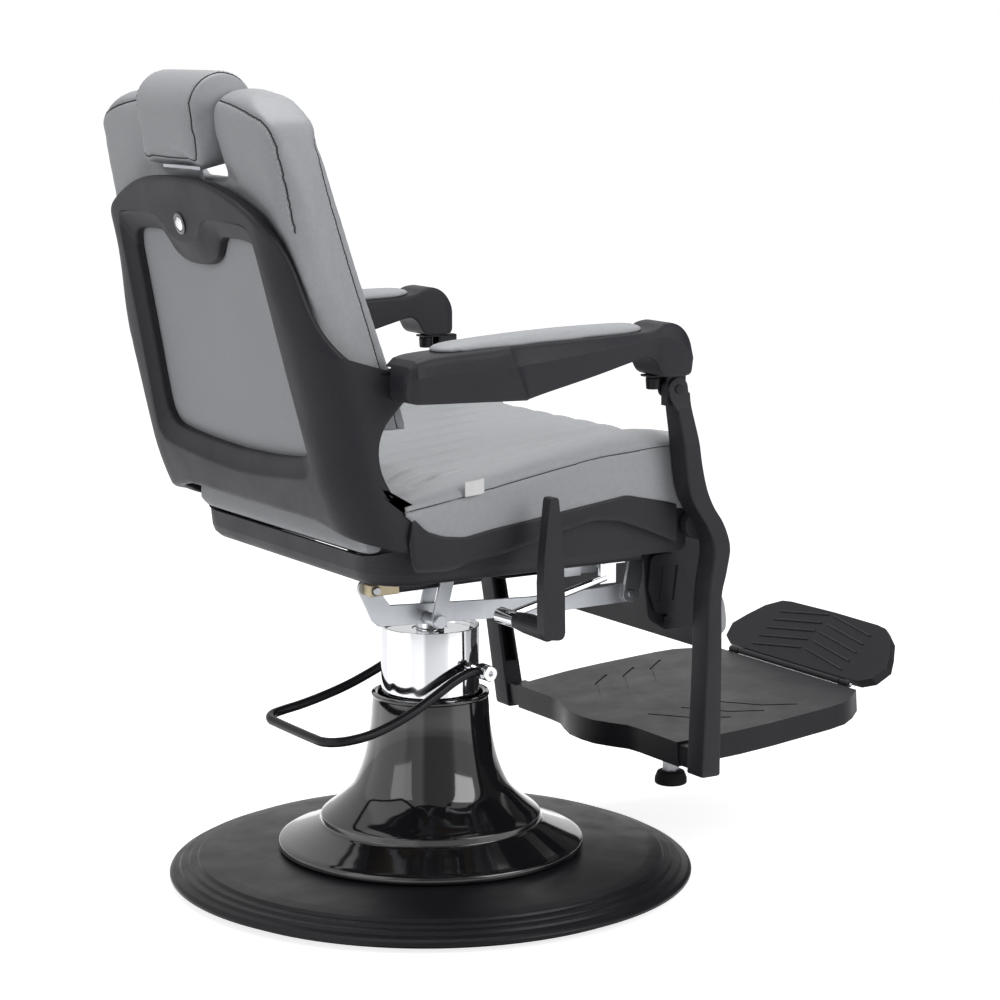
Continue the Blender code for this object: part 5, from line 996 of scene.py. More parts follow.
dress(back_frame, PLASTIC, "backrest", "charcoal_plastic", "back_frame")
bezel = rounded_line([(0.0091, -0.002), (0.0091, 0.0014, 0.0004), (0.0105, 0.0024, 0.0006),
                      (0.0138, 0.0018, 0.0008), (0.0138, -0.002)], count=4)
dress(object_of("button_bezel_turned", lathe(bezel, 64, closed=True, place=button_place)),
      GLOSS_BLACK, "backrest", "satin_black", "button_bezel")
button = rounded_line([(0, 0.0044), (0.0050, 0.0042, 0.004), (0.0088, 0.0022, 0.0012),
                       (0.0088, -0.014), (0, -0.014)], closed=False, count=6)
dress(object_of("headrest_button_turned", lathe(button, 64, place=button_place)), CHROME,
      "release_button", "chrome", "headrest_button")
print("back frame:", len(frame_rings), "rings of", len(outer_ring))

# %% [markdown]
# Every cushion is sewn leather over foam. Its plain part is remeshed as a fine skin
# and blown up a little with the Cloth solver, so that its faces crown and its edges
# round. How far a point may move is capped, and points close to a hard part stay
# where they are. The seams are pressed in afterwards.

# %% Puffing and sewing
def applied(obj):
    """Put the result of a piece's modifiers into its mesh."""
    bpy.context.view_layer.update()
    graph = bpy.context.evaluated_depsgraph_get()
    mesh = bpy.data.meshes.new_from_object(obj.evaluated_get(graph))
    obj.modifiers.clear()
    obj.data = mesh
    return mesh


def tree_of(names):
    """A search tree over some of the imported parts."""
    together = bmesh.new()
    for name in names:
        together.from_mesh(nodes[name].data)
    tree = BVHTree.FromBMesh(together)
    together.free()
    return tree


def puffed(name, form, voxel, cap, pressure=4.0, near=(), rounding=6, fine=True):
    """A cushion: a form remeshed, blown up by cloth, capped, smoothed and subdivided."""
    obj = object_of(name, form)
    remesh = obj.modifiers.new("remesh", "REMESH")
    remesh.mode = "VOXEL"
    remesh.voxel_size = voxel
    mesh = applied(obj)
    even = bmesh.new()
    even.from_mesh(mesh)
    for _ in range(rounding):
        bmesh.ops.smooth_vert(even, verts=even.verts, factor=0.5, use_axis_x=True,
                              use_axis_y=True, use_axis_z=True)
    even.to_mesh(mesh)
    even.free()
    rest = [v.co.copy() for v in mesh.vertices]
    limit = [cap] * len(rest)
    if near:
        hard = tree_of(near)
        for index, spot in enumerate(rest):
            found = hard.find_nearest(spot, cap + 0.012)
            if found[0] is not None:
                limit[index] = max(0.0, min(cap, (found[3] - 0.003) * 0.6))
    held = obj.vertex_groups.new(name="held")
    held.add([i for i, room in enumerate(limit) if room < 0.0006], 1.0, "REPLACE")
    cloth = obj.modifiers.new("leather", "CLOTH")
    cloth.settings.quality = 4
    cloth.settings.mass = 0.3
    cloth.settings.tension_stiffness = 12
    cloth.settings.compression_stiffness = 12
    cloth.settings.shear_stiffness = 4
    cloth.settings.bending_stiffness = 0.4
    cloth.settings.use_pressure = True
    cloth.settings.uniform_pressure_force = pressure
    cloth.settings.effector_weights.gravity = 0.0
    cloth.settings.vertex_group_mass = "held"
    cloth.collision_settings.use_collision = False
    cloth.point_cache.frame_start = 1
    cloth.point_cache.frame_end = 20
    for number in range(1, 21):
        scene.frame_set(number)
    mesh = applied(obj)
    scene.frame_set(1)
    for index, vert in enumerate(mesh.vertices):
        moved = vert.co - rest[index]
        if moved.length > limit[index]:
            vert.co = rest[index] + moved.normalized() * limit[index]
    even = bmesh.new()
    even.from_mesh(mesh)
    for _ in range(3):
        bmesh.ops.smooth_vert(even, verts=even.verts, factor=0.5, use_axis_x=True,
                              use_axis_y=True, use_axis_z=True)
    even.to_mesh(mesh)
    even.free()
    if fine:
        divide = obj.modifiers.new("fine", "SUBSURF")
        divide.levels = divide.render_levels = 1
        applied(obj)
    obj.vertex_groups.clear()
    obj.data.shade_smooth()
    return obj


def surface_line(tree, points, spacing=0.002, reach=0.06):
    """Places and normals where a smooth line through points lies on a surface."""
    line = smooth_line(points, 10)
    length = sum((b - a).length for a, b in zip(line, line[1:]))
    places = []
    for spot in spread(line, max(4, int(length / spacing))):
        found = tree.find_nearest(spot, reach)
        if found[0] is not None:
            places.append((found[0], found[1]))
    return places


def press_in(obj, places, width, depth):
    """Press a line into a piece's surface, as a seam does."""
    finder = KDTree(len(places))
    for index, (spot, normal) in enumerate(places):
        finder.insert(spot, index)
    finder.balance()
    mesh = obj.data
    normals = [v.normal.copy() for v in mesh.vertices]
    for vert, normal in zip(mesh.vertices, normals):
        spot, index, distance = finder.find(vert.co)
        if distance < width and normal.dot(places[index][1]) > 0.0:
            share = 1 - (distance / width) ** 2
            vert.co -= normal * depth * share * share
    mesh.update()


def tree_of_piece(obj):
    """A search tree over a piece."""
    form = bmesh.new()
    form.from_mesh(obj.data)
    tree = BVHTree.FromBMesh(form)
    form.free()
    return tree


def shifted(places, sideways, lift=0.0):
    """A row beside a line on a surface, at a distance along the surface."""
    row = []
    for index, (spot, normal) in enumerate(places):
        before = places[max(0, index - 2)][0]
        after = places[min(len(places) - 1, index + 2)][0]
        run = (after - before).normalized()
        row.append((spot + normal.cross(run).normalized() * sideways + normal * lift, normal))
    return row


STITCH_LENGTH = 0.0040
STITCH_PITCH = 0.0062


def stitches(name, tree, row, body, radius=0.00052, material=None):
    """A row of short thread capsules laid along a line on a surface."""
    form = bmesh.new()
    spots = [spot for spot, normal in row]
    lengths = [0.0]
    for a, b in zip(spots, spots[1:]):
        lengths.append(lengths[-1] + (b - a).length)
    count = int(lengths[-1] / STITCH_PITCH)
    index = 0
    for number in range(count):
        goal = (number + 0.5) * STITCH_PITCH
        while index < len(spots) - 2 and lengths[index + 1] < goal:
            index += 1
        run = spots[index + 1] - spots[index]
        if run.length < 1e-7:
            continue
        share = (goal - lengths[index]) / run.length
        middle = spots[index].lerp(spots[index + 1], share)
        found = tree.find_nearest(middle, 0.02)
        if found[0] is None:
            continue
        middle, normal = found[0], found[1]
        run = (run - normal * run.dot(normal)).normalized()
        side = normal.cross(run)
        half = STITCH_LENGTH / 2
        rings = []
        for along, wide, high in ((-half, 0.35, -0.6), (-half * 0.8, 0.9, 0.0), (0.0, 1.0, 0.35),
                                  (half * 0.8, 0.9, 0.0), (half, 0.35, -0.6)):
            heart = middle + run * along + normal * radius * high
            rings.append([heart + (side * math.cos(a) + normal * math.sin(a)) * radius * wide
                          for a in (math.pi * k / 3 for k in range(6))])
        rows = [[form.verts.new(p) for p in ring] for ring in rings]
        for first, second in zip(rows, rows[1:]):
            for k in range(6):
                form.faces.new((first[k], first[(k + 1) % 6], second[(k + 1) % 6], second[k]))
        form.faces.new(rows[0][::-1])
        form.faces.new(rows[-1])
    obj = object_of(name, form, 80)
    return dress(obj, material or THREAD, body, "grey_leather")


def sew(obj, name, body, points, width=0.0045, depth=0.0016, rows=(0.0032,), cord=0.0007,
        thread=None, shade_material=None):
    """A seam: pressed in, with a thin dark cord where the panels meet, whose colour is painted shade of the
    groove, and rows of stitches.
    """
    tree = tree_of_piece(obj)
    places = surface_line(tree, points)
    press_in(obj, places, width, depth)
    tree = tree_of_piece(obj)
    settled = []
    for spot, normal in places:
        found = tree.find_nearest(spot, 0.02)
        settled.append((found[0], normal) if found[0] is not None else (spot, normal))
    # The cord is a thin tube along the seam; its dark colour is painted shade of the groove.
    if cord:
        line = [spot + normal * cord * 0.15 for spot, normal in settled]
        dress(object_of(name + "_line", bar(line, cord, 8), 80), shade_material or SEAM_SHADE_CORD, body, "grey_leather")
    for number, sideways in enumerate(rows):
        stitches("%s_row%d" % (name, number), tree, shifted(settled, sideways), body,
                 material=thread)
    return settled


def softened(node, width, segments=3, angle=40.0):
    """A part's form with broad rounded edges, ready to be puffed."""
    obj = object_of("blank", whole_form(node, 1.0))
    step = obj.modifiers.new("round", "BEVEL")
    step.width = width
    step.segments = segments
    step.limit_method = "ANGLE"
    step.angle_limit = math.radians(angle)
    mesh = applied(obj)
    form = bmesh.new()
    form.from_mesh(mesh)
    bpy.data.objects.remove(obj, do_unlink=True)
    return form


# %% [markdown]
# The back cushion has two rounded lobes with the headrest between them. Its broad
# side panels run from the crest down to the arms, between a piped seam behind and a
# stitched seam in front.

# %% Back cushion
back_cushion = puffed("back_cushion_sewn", softened("back_cushion", 0.006, 3, 50), 0.0055, 0.006,
                      near=("back_frame", "headrest_cushion", "headrest_guide", "back_panel"))
for side, word in SIDES:
    rear_seam = [(side * 0.095, 0.3535, 1.0440), (side * 0.140, 0.3535, 1.0330),
                 (side * 0.185, 0.3530, 1.0230), (side * 0.222, 0.3500, 1.0110),
                 (side * 0.2440, 0.3500, 0.9900), (side * 0.2500, 0.3440, 0.9560),
                 (side * 0.2505, 0.3365, 0.9200), (side * 0.2505, 0.3290, 0.8850)]
    front_seam = [(side * 0.100, 0.2960, 1.0500), (side * 0.150, 0.2900, 1.0430),
                  (side * 0.200, 0.2860, 1.0240), (side * 0.2350, 0.2880, 0.9950),
                  (side * 0.2505, 0.2830, 0.9600), (side * 0.2520, 0.2640, 0.8900),
                  (side * 0.2530, 0.2380, 0.8100), (side * 0.2530, 0.2080, 0.7200),
                  (side * 0.2520, 0.1880, 0.6600), (side * 0.2480, 0.1800, 0.6250)]
    # The piping's cord is dark as painted shade of the seam's groove.
    sew(back_cushion, "back_rear_seam_" + word, "backrest", rear_seam, rows=(0.0034 * side,),
        cord=0.0010)
    sew(back_cushion, "back_front_seam_" + word, "backrest", front_seam, rows=(0.0030 * side,),
        cord=0.0007)
dress(back_cushion, LEATHER, "backrest", "grey_leather", "back_cushion")

# %% [markdown]
# The headrest is a small bolster with a flat rear panel that is sewn in.

# %% Headrest
headrest = puffed("headrest_sewn", softened("headrest_cushion", 0.004, 2, 60), 0.0042, 0.005,
                  rounding=4)
HEADREST_HALF = 0.0800


def rest_rear(z):
    """y of the headrest's rear panel at a height."""
    return 0.3800 + 0.183 * (z - 1.0)


panel = [(-HEADREST_HALF, 1.040), (-HEADREST_HALF, 1.000), (-HEADREST_HALF * 0.99, 0.9780),
         (-HEADREST_HALF * 0.86, 0.9600), (-0.045, 0.9565), (0.0, 0.9560), (0.045, 0.9565),
         (HEADREST_HALF * 0.86, 0.9600), (HEADREST_HALF * 0.99, 0.9780), (HEADREST_HALF, 1.000),
         (HEADREST_HALF, 1.040)]
rear_line = ([(-HEADREST_HALF, 0.3000, 1.0640), (-HEADREST_HALF, 0.3400, 1.0740),
              (-HEADREST_HALF, 0.3720, 1.0600)]
             + [(x, rest_rear(z), z) for x, z in panel]
             + [(HEADREST_HALF, 0.3720, 1.0600), (HEADREST_HALF, 0.3400, 1.0740),
                (HEADREST_HALF, 0.3000, 1.0640)])
sew(headrest, "headrest_seam", "headrest", rear_line, width=0.004, depth=0.0012,
    rows=(-0.0036,), cord=0.0009)
dress(headrest, LEATHER, "headrest", "grey_leather", "headrest_cushion")

# %% [markdown]
# The window's panel is a padded board covered with the same leather. It lies a
# little below the frame's edge and is slightly crowned.

# %% Back panel
panel_rings = []
panel_outline = spread(smooth_line(ring_line((hole_top, hole_side, hole_low)), 1), 200, closed=True)
for share, depth in ((1.05, 0.0262), (1.03, 0.0240), (0.99, 0.0228), (0.90, 0.0219), (0.70, 0.0209),
                     (0.45, 0.0203), (0.20, 0.0200)):
    center = Vector((0.0, 0.735))
    panel_rings.append([wrap(q.x, q.y, depth) for q in (center.lerp(p, share)
                                                      for p in panel_outline)])
back_panel = object_of("back_panel_covered", skin(panel_rings), 60)
dress(back_panel, PANEL_LEATHER, "backrest", "grey_leather", "back_panel")

# %% [markdown]
# The seat is a thick pad whose rear edge shows under the back frame. Its sides are
# separate panels: each starts behind a plastic cheek, goes up to a stitched seam and
# rolls over a crown onto the seat. Their forms change along the seat, so each of
# their sizes is a short table of (y, value) rows that runs from back to front.

# %% Sizes along the seat
def along(table, y):
    """The value at y of a table of (y, value) rows, which runs forwards."""
    for (y0, a), (y1, b) in zip(table, table[1:]):
        if y1 <= y <= y0:
            return b + (a - b) * (y - y1) / (y0 - y1)
    return table[0][1] if y > table[0][0] else table[-1][1]


def eased(table, y, reach=0.012):
    """The same, smoothed over a short length."""
    return sum(along(table, y + reach * k / 3) for k in range(-3, 4)) / 7


CHEEK_TOP = [(0.2100, 0.560), (0.1861, 0.5400), (0.1695, 0.5228), (0.1456, 0.5144), (0.1131, 0.5101),
             (0.0701, 0.5161), (0.0192, 0.5215), (-0.0622, 0.5319), (-0.1302, 0.5400),
             (-0.1983, 0.5251), (-0.2200, 0.5180)]
CHEEK_FOLD = [(0.2400, 0.5207), (0.2154, 0.5112), (0.2003, 0.4889), (0.1837, 0.4725),
              (0.1416, 0.4708), (0.0701, 0.4799), (0.0118, 0.4894), (-0.0370, 0.5012),
              (-0.0849, 0.5100), (-0.1213, 0.5062), (-0.1661, 0.4892), (-0.2130, 0.4693)]
SIDE_SEAM = [(0.2100, 0.5460), (0.1855, 0.5498), (0.0809, 0.5641), (-0.0107, 0.5790),
             (-0.0926, 0.5914), (-0.1997, 0.5971), (-0.2400, 0.5960)]
SIDE_OUT = [(0.2100, 0.2787), (0.1300, 0.2787), (0.0700, 0.2720), (0.0, 0.2700), (-0.1200, 0.2680),
            (-0.1700, 0.2640), (-0.2400, 0.2560)]
CROWN_RISE = [(0.2100, 0.0150), (0.1500, 0.0200), (0.0, 0.0230), (-0.1600, 0.0220),
              (-0.2400, 0.0100)]


# %% [markdown]
# The main pad is blown up first. A side panel is then a thin skin over it, thickened
# with a Solidify modifier, and it has its own seam.

# %% Seat side panels
seat_cushion = puffed("seat_cushion_sewn", softened("seat_cushion", 0.012, 3, 50), 0.0060, 0.010,
                      near=("seat_shell", "back_frame", "seat_board"))
PANEL_REAR, PANEL_FRONT, PANEL_ROWS = 0.197, -0.236, 110
CROWN_WIDTH = 0.0400
PANEL_INWARD = 0.052          # how far a panel reaches onto the seat past its crown
LEATHER_THICKNESS = 0.0012


def side_section(y, side):
    """A section of a side panel: up the side, a dip at the seam, then over the crown."""
    low, seam, out = eased(CHEEK_TOP, y) - 0.005, eased(SIDE_SEAM, y), eased(SIDE_OUT, y)
    rise = eased(CROWN_RISE, y)
    spots = []
    for k in range(13):
        share = k / 12
        bulge = 0.0022 * math.sin(math.pi * share)
        spots.append((out - 0.0006 + bulge, low + (seam - 0.0006 - low) * share))
    spots.append((out - 0.0020, seam))
    for k in range(17):
        turn = math.radians(4 + 86 * k / 16)
        spots.append((out - CROWN_WIDTH + 0.0405 * math.cos(turn), seam + rise * math.sin(turn)))
    for k in range(1, 11):
        share = k / 10
        drop = (3 * share ** 2 - 2 * share ** 3) * (rise + 0.012)
        spots.append((out - CROWN_WIDTH - PANEL_INWARD * share, seam + rise - drop))
    return [(side * x, y, z) for x, z in spots]


for side, word in SIDES:
    rows = [side_section(PANEL_REAR - (PANEL_REAR - PANEL_FRONT) * k / PANEL_ROWS, side)
            for k in range(PANEL_ROWS + 1)]
    form = skin(rows, closed_rows=False, ends=False)
    panel = object_of("seat_side_panel_" + word, form, 60)
    thick = panel.modifiers.new("leather", "SOLIDIFY")
    thick.thickness = LEATHER_THICKNESS
    thick.offset = 0.0
    side_seam = [(side * (eased(SIDE_OUT, y) - 0.001), y, eased(SIDE_SEAM, y))
                 for y in (0.190, 0.150, 0.105, 0.06, 0.01, -0.04, -0.09, -0.14, -0.19, -0.230)]
    sew(panel, "seat_side_seam_" + word, "seat", side_seam, depth=0.0010,
        rows=(0.0034 * side, -0.0034 * side))
    dress(panel, LEATHER, "seat", "grey_leather")
print("seat side panels:", PANEL_ROWS + 1, "sections each")

# %% [markdown]
# The seat shell's cheeks stand out over its rim. Each one is a plastic band with a
# rounded top edge and a fold below, thin over the recline lug and deeper in front
# of it, where it is part of the shell.

# %% Seat cheeks
CHEEK_REAR, CHEEK_FRONT, CHEEK_ROWS = 0.1930, -0.2130, 100
CHEEK_PROUD = 0.0030          # past the leather
CHEEK_THIN, CHEEK_DEEPER = 0.0020, 0.0120
LUG_FRONT = 0.122


def cheek_section(y, side):
    """A closed section of a cheek, from its inner top edge round its outer face."""
    near_end = min(1.0, (CHEEK_REAR - y) / 0.006 + 0.12)
    top, fold = eased(CHEEK_TOP, y, 0.006), eased(CHEEK_FOLD, y, 0.006)
    out = eased(SIDE_OUT, y) + CHEEK_PROUD
    deep = CHEEK_THIN + CHEEK_DEEPER * min(1.0, max(0.0, (LUG_FRONT - y) / 0.02))
    middle = (top + fold) / 2
    half = (top - fold) / 2 * near_end
    lower_in = min(deep, 0.0060)
    shape = [(out - deep, half - 0.0005), (out - 0.0014, half), (out - 0.0003, half - 0.0012),
             (out, half - 0.0035), (out, -half + 0.0100), (out - 0.0005, -half + 0.0060),
             (out - 0.0018, -half + 0.0022), (out - lower_in, -half), (out - deep, -half)]
    return [(side * x, y, middle + z) for x, z in shape]


for side, word in SIDES:
    cheek_rows = [cheek_section(CHEEK_REAR - (CHEEK_REAR - CHEEK_FRONT) * k / CHEEK_ROWS, side)
                  for k in range(CHEEK_ROWS + 1)]
    cheek = object_of("seat_shell_cheek_" + word, skin(cheek_rows), 45)
    dress(cheek, PLASTIC, "seat", "charcoal_plastic")
print("seat cheeks:", CHEEK_ROWS + 1, "sections each")

# %% [markdown]
# Two small leather blocks fill the seat's rear corners, between the pad and the back
# frame. A blank ribbon tag is sewn into the right seam; it bulges a little and leans.

# %% Rear corners and tag
CORNER_LOW, CORNER_HIGH = (0.2150, 0.1500, 0.5150), (0.2615, 0.2260, 0.5720)
TAG_FRONT, TAG_REAR = 0.0880, 0.1150
TAG_LOW, TAG_HIGH = 0.5620, 0.5800
TAG_OUT, TAG_THICKNESS = 0.2818, 0.0008
TAG_BULGE, TAG_SLOPE = 0.0022, 0.10

for side, word in SIDES:
    corner = object_of("seat_rear_corner_" + word,
                       box_form((side * CORNER_LOW[0], *CORNER_LOW[1:]),
                                (side * CORNER_HIGH[0], *CORNER_HIGH[1:])), 60)
    soft_edges(corner, 0.0180, 6, 40)
    applied(corner)
    dress(corner, LEATHER, "seat", "grey_leather")

tag = joined(box_form((-TAG_OUT, TAG_FRONT, TAG_LOW), (TAG_THICKNESS - TAG_OUT, TAG_REAR, TAG_HIGH)))
bmesh.ops.subdivide_edges(tag, edges=tag.edges, cuts=6, use_grid_fill=True)
for vert in tag.verts:
    along_tag = (vert.co.y - TAG_FRONT) / (TAG_REAR - TAG_FRONT)
    vert.co.x -= TAG_BULGE * math.sin(math.pi * along_tag)
    vert.co.z += TAG_SLOPE * ((TAG_FRONT + TAG_REAR) / 2 - vert.co.y)
label = object_of("side_tag", tag, 50)
dress(label, LABEL, "seat", "grey_leather")
print("tag:", round(TAG_REAR - TAG_FRONT, 3), "m wide")

# %% [markdown]
# The main pad has a seam across its front, and nine soft channels that are sewn from
# front to back across its top.

# %% Seat front seam and channels
CHANNEL_PITCH = 0.052
front_seam = [(0.2400, -0.2640, 0.5740), (0.1500, -0.2740, 0.5750), (0.0, -0.2760, 0.5760),
              (-0.1500, -0.2740, 0.5750), (-0.2400, -0.2640, 0.5740)]
sew(seat_cushion, "seat_front_seam", "seat", front_seam, depth=0.0018, rows=(0.0032,))
seat_tree = tree_of_piece(seat_cushion)
for number in range(-4, 5):
    channel = [(number * CHANNEL_PITCH, y, 0.64) for y in (-0.210, -0.12, -0.04, 0.04, 0.12, 0.185)]
    channel_places = surface_line(seat_tree, channel, reach=0.12)
    press_in(seat_cushion, channel_places, 0.022, 0.0030)
    press_in(seat_cushion, channel_places, 0.006, 0.0016)
dress(seat_cushion, LEATHER, "seat", "grey_leather", "seat_cushion")

# %% [markdown]
# The calf pad is a thin upholstered board.

# %% Calf pad
calf = puffed("calf_cushion_sewn", softened("calf_cushion", 0.006, 2, 50), 0.0050, 0.007,
              near=("calf_shell",))
dress(calf, LEATHER, "leg_frame", "grey_leather", "calf_cushion")
print("cushions sewn")

# %% [markdown]
# Each arm is a plastic moulding, drawn as a row of sections from back to front. Its
# rear part has a plain outer face. From a slanted line forwards the face folds into
# an upper facet that looks up and a lower one that looks down. The belly rises
# towards the front, and a boss drops over the head of the post.

# %% Arms
ARM_INNER = 0.2633
POST_MIDDLE = 0.2825
FACET_LEAN = 0.42
PIVOT_FRONT = Vector((-0.190, 0.674))


def arm_top(y):
    """Height of the arm's top edge, which rises to the front."""
    return 0.7410 + (0.160 - y) * 0.0372


# y, top, fold, bottom, and how far out each of them lies; the last is the lean
ARM_SECTIONS = [
    (0.2180, 0.7100, 0.705, 0.7000, 0.3060, 0.3110, 0.3080, 0.0, 0.280),
    (0.2172, 0.7195, 0.708, 0.6900, 0.3150, 0.3200, 0.3175, 0.0, 0.270),
    (0.2145, 0.7280, 0.711, 0.6855, 0.3210, 0.3250, 0.3235, 0.0, 0.2645),
    (0.2060, 0.7350, 0.714, 0.6835, 0.3245, 0.3280, 0.3262, 0.0, ARM_INNER),
    (0.1900, 0.7385, 0.7160, 0.6828, 0.3262, 0.3280, 0.3262, 0.0, ARM_INNER),
    (0.1500, 0.0, 0.7180, 0.6815, 0.3272, 0.3280, 0.3262, 0.0, ARM_INNER),
    (0.0660, 0.0, 0.7200, 0.6785, 0.3274, 0.3282, 0.3262, FACET_LEAN, ARM_INNER),
    (0.0580, 0.0, 0.7215, 0.6790, 0.3195, 0.3290, 0.3190, FACET_LEAN, ARM_INNER),
    (0.0080, 0.0, 0.7268, 0.6881, 0.3190, 0.3292, 0.3195, 0.0, ARM_INNER),
    (-0.0500, 0.0, 0.7340, 0.7014, 0.3190, 0.3292, 0.3200, 0.0, ARM_INNER),
    (-0.1000, 0.0, 0.7402, 0.7142, 0.3195, 0.3290, 0.3205, 0.0, ARM_INNER),
    (-0.1200, 0.0, 0.7425, 0.7188, 0.3200, 0.3290, 0.3210, 0.0, ARM_INNER),
    (-0.1300, 0.7530, 0.7440, 0.7180, 0.3205, 0.3290, 0.3212, 0.0, ARM_INNER),
    (-0.1385, 0.7560, 0.7452, 0.7110, 0.3210, 0.3288, 0.3214, 0.0, ARM_INNER),
    (-0.1450, 0.7590, 0.7455, 0.6995, 0.3212, 0.3286, 0.3216, 0.0, ARM_INNER),
    (-0.1520, 0.7605, 0.7440, 0.6945, 0.3214, 0.3284, 0.3218, 0.0, ARM_INNER),
    (-0.1620, 0.7610, 0.7400, 0.6930, 0.3214, 0.3280, 0.3220, 0.0, ARM_INNER),
    (-0.1740, 0.7575, 0.7340, 0.6930, 0.3210, 0.3274, 0.3220, 0.0, ARM_INNER),
    (-0.1840, 0.7500, 0.7270, 0.6932, 0.3195, 0.3260, 0.3210, 0.0, 0.2640),
    (-0.1920, 0.7395, 0.7190, 0.6945, 0.3160, 0.3230, 0.3185, 0.0, 0.2660),
    (-0.1970, 0.7290, 0.7130, 0.6980, 0.3110, 0.3170, 0.3140, 0.0, 0.2700),
    (-0.1995, 0.7200, 0.7100, 0.7020, 0.3040, 0.3090, 0.3060, 0.0, 0.2770)]


def arm_ring(section, side):
    """One closed section of an arm."""
    y, top, fold, low, out_top, out_fold, out_low, lean, inner = section
    top = top or arm_top(y)
    round_top = 0.0085 + 0.0055 * min(1.0, max(0.0, (y - 0.07) / 0.03))
    corners = [(inner, low, 0.004), (out_low, low, 0.0045), (out_fold, fold, 0.0015),
               (out_top, top, round_top), (inner, top, 0.006)]
    return [(side * p.x, y + lean * (p.y - 0.71), p.y) for p in rounded_line(corners, count=6)]


def fine_sections():
    """The arm's sections with smooth ones between them, except across the fold's start."""
    rear = smooth_line([Vector(s) for s in ARM_SECTIONS[3:7]], 3)
    front = smooth_line([Vector(s) for s in ARM_SECTIONS[7:]], 4)
    return [Vector(s) for s in ARM_SECTIONS[:3]] + rear + front


for place, section in enumerate(ARM_SECTIONS):
    if not section[1]:
        ARM_SECTIONS[place] = (section[0], arm_top(section[0])) + section[2:]
for side, word in SIDES:
    housing = object_of("arm_housing_%s_moulded" % word,
                        skin([arm_ring(tuple(s), side) for s in fine_sections()]), 20)
    cut_out(housing, box_form((side * 0.240, 0.1790, 0.660), (side * 0.2785, 0.240, 0.7245)))
    housing.data.set_sharp_from_angle(angle=math.radians(20))
    dress(housing, PLASTIC, "arm_" + word, "charcoal_plastic", "arm_housing_" + word)

    cheek = rounded_line([(-0.1760, 0.6925), (-0.2040, 0.6925), (-0.2040, 0.6610, 0.0135),
                          (-0.1760, 0.6610, 0.0135)], count=8)
    cheeks = [slab(cheek, side * a, side * b) for a, b in ((0.2690, 0.2728), (0.2884, 0.2925))]
    across = Matrix.Translation((0, *PIVOT_FRONT)) @ Matrix.Rotation(side * math.pi / 2, 4, "Y")
    head = [(0, 0.2672), (0.0048, 0.2674), (0.0055, 0.2682), (0.0055, 0.2978), (0.0048, 0.2986),
            (0, 0.2988)]
    flange = box_form((side * 0.2690, -0.2029, 0.6900), (side * 0.2925, -0.1500, 0.6930))
    knob = lathe(rounded_line([(0, 0), (0.0085, 0, 0.0015), (0.0095, 0.0150, 0.002), (0, 0.0150)],
                              closed=False, count=4), 32,
                 place=Matrix.Translation((side * POST_MIDDLE, -0.1600, 0.6745)))
    bracket = object_of("arm_bracket_%s_pressed" % word,
                        joined(*cheeks, lathe(head, 32, place=across), flange, knob), 40)
    soft_edges(bracket, 0.0008, 2, 50)
    dress(bracket, SATIN_BLACK, "arm_" + word, "satin_black", "arm_bracket_" + word)
print("arms: %d sections" % len(fine_sections()))

# %% [markdown]
# The pad is a thin lens of foam on a board, covered with leather. It is fullest in
# the middle and thin all round its edge.

# %% Arm pads
PAD_REAR, PAD_FRONT = 0.1670, -0.1330
PAD_HALF = 0.0272


def pad_ring(y, share, side):
    """A section of the pad: thin at its edges and ends, crowned between."""
    across = POST_MIDDLE + 0.0068
    round_end = max(0.0, 1 - abs(2 * share - 1) ** 14) ** 0.5
    half = max(PAD_HALF * round_end, 0.001)
    rise = 0.0062 + 0.0040 * max(0.0, math.sin(math.pi * share))
    base = arm_top(y) - 0.0012
    ring = []
    for step in range(25):
        t = -1 + step / 12
        lift = (1 - abs(t) ** 2.6) ** 0.75
        ring.append((side * (across + half * t), y, base + 0.0032 + rise * lift * round_end))
    ring.append((side * (across + half * 0.96), y, base))
    ring.append((side * (across - half * 0.96), y, base))
    return ring


for side, word in SIDES:
    rows = []
    for step in range(49):
        share = 0.5 - 0.5 * math.cos(math.pi * step / 48)
        rows.append(pad_ring(PAD_REAR + (PAD_FRONT - PAD_REAR) * share, share, side))
    pad = puffed("arm_pad_%s_covered" % word, skin(rows), 0.0030, 0.0012, rounding=2)
    dress(pad, LEATHER, "arm_" + word, "grey_leather", "arm_pad_" + word)
print("arm pads: %.3f m long" % (PAD_REAR - PAD_FRONT))

# %% [markdown]
# The posts are slim blades that step forward at a knee and lean inwards below it.
# Their inner side is an open channel, as on a die casting, so that a rim shows round
# a hollow. Each has a tongue at its head, between the arm bracket's cheeks.

# %% Posts
POST_INNER, POST_OUTER = 0.265, 0.300
POST_HINGE = Vector((0, -0.240, 0.492))    # where the leg frame swings on the seat
POST_KNEE_Z, POST_FOOT_Z, POST_LEAN = 0.460, 0.150, 0.043
POST_REAR = [(-0.1860, 0.6760), (-0.1885, 0.6500), (-0.1965, 0.6080), (-0.2050, 0.5500),
             (-0.2150, 0.5230), (-0.2370, 0.4900), (-0.2470, 0.4600), (-0.2450, 0.4000),
             (-0.2530, 0.2900), (-0.2600, 0.1800), (-0.2620, 0.1500)]
POST_FRONT = [(-0.2085, 0.6760), (-0.2115, 0.6500), (-0.2215, 0.6080), (-0.2270, 0.5750),
              (-0.2350, 0.5430), (-0.2460, 0.5190), (-0.2600, 0.4990), (-0.2690, 0.4790),
              (-0.2727, 0.4600), (-0.2700, 0.4280), (-0.2665, 0.3970), (-0.2740, 0.3300),
              (-0.2850, 0.2200), (-0.2920, 0.1500)]


def at_height(line, z):
    """y of a line of (y, z) points at a height."""
    for (y0, z0), (y1, z1) in zip(line, line[1:]):
        if z1 <= z <= z0:
            return y1 + (y0 - y1) * (z - z1) / (z0 - z1)
    return line[0][0] if z > line[0][1] else line[-1][0]


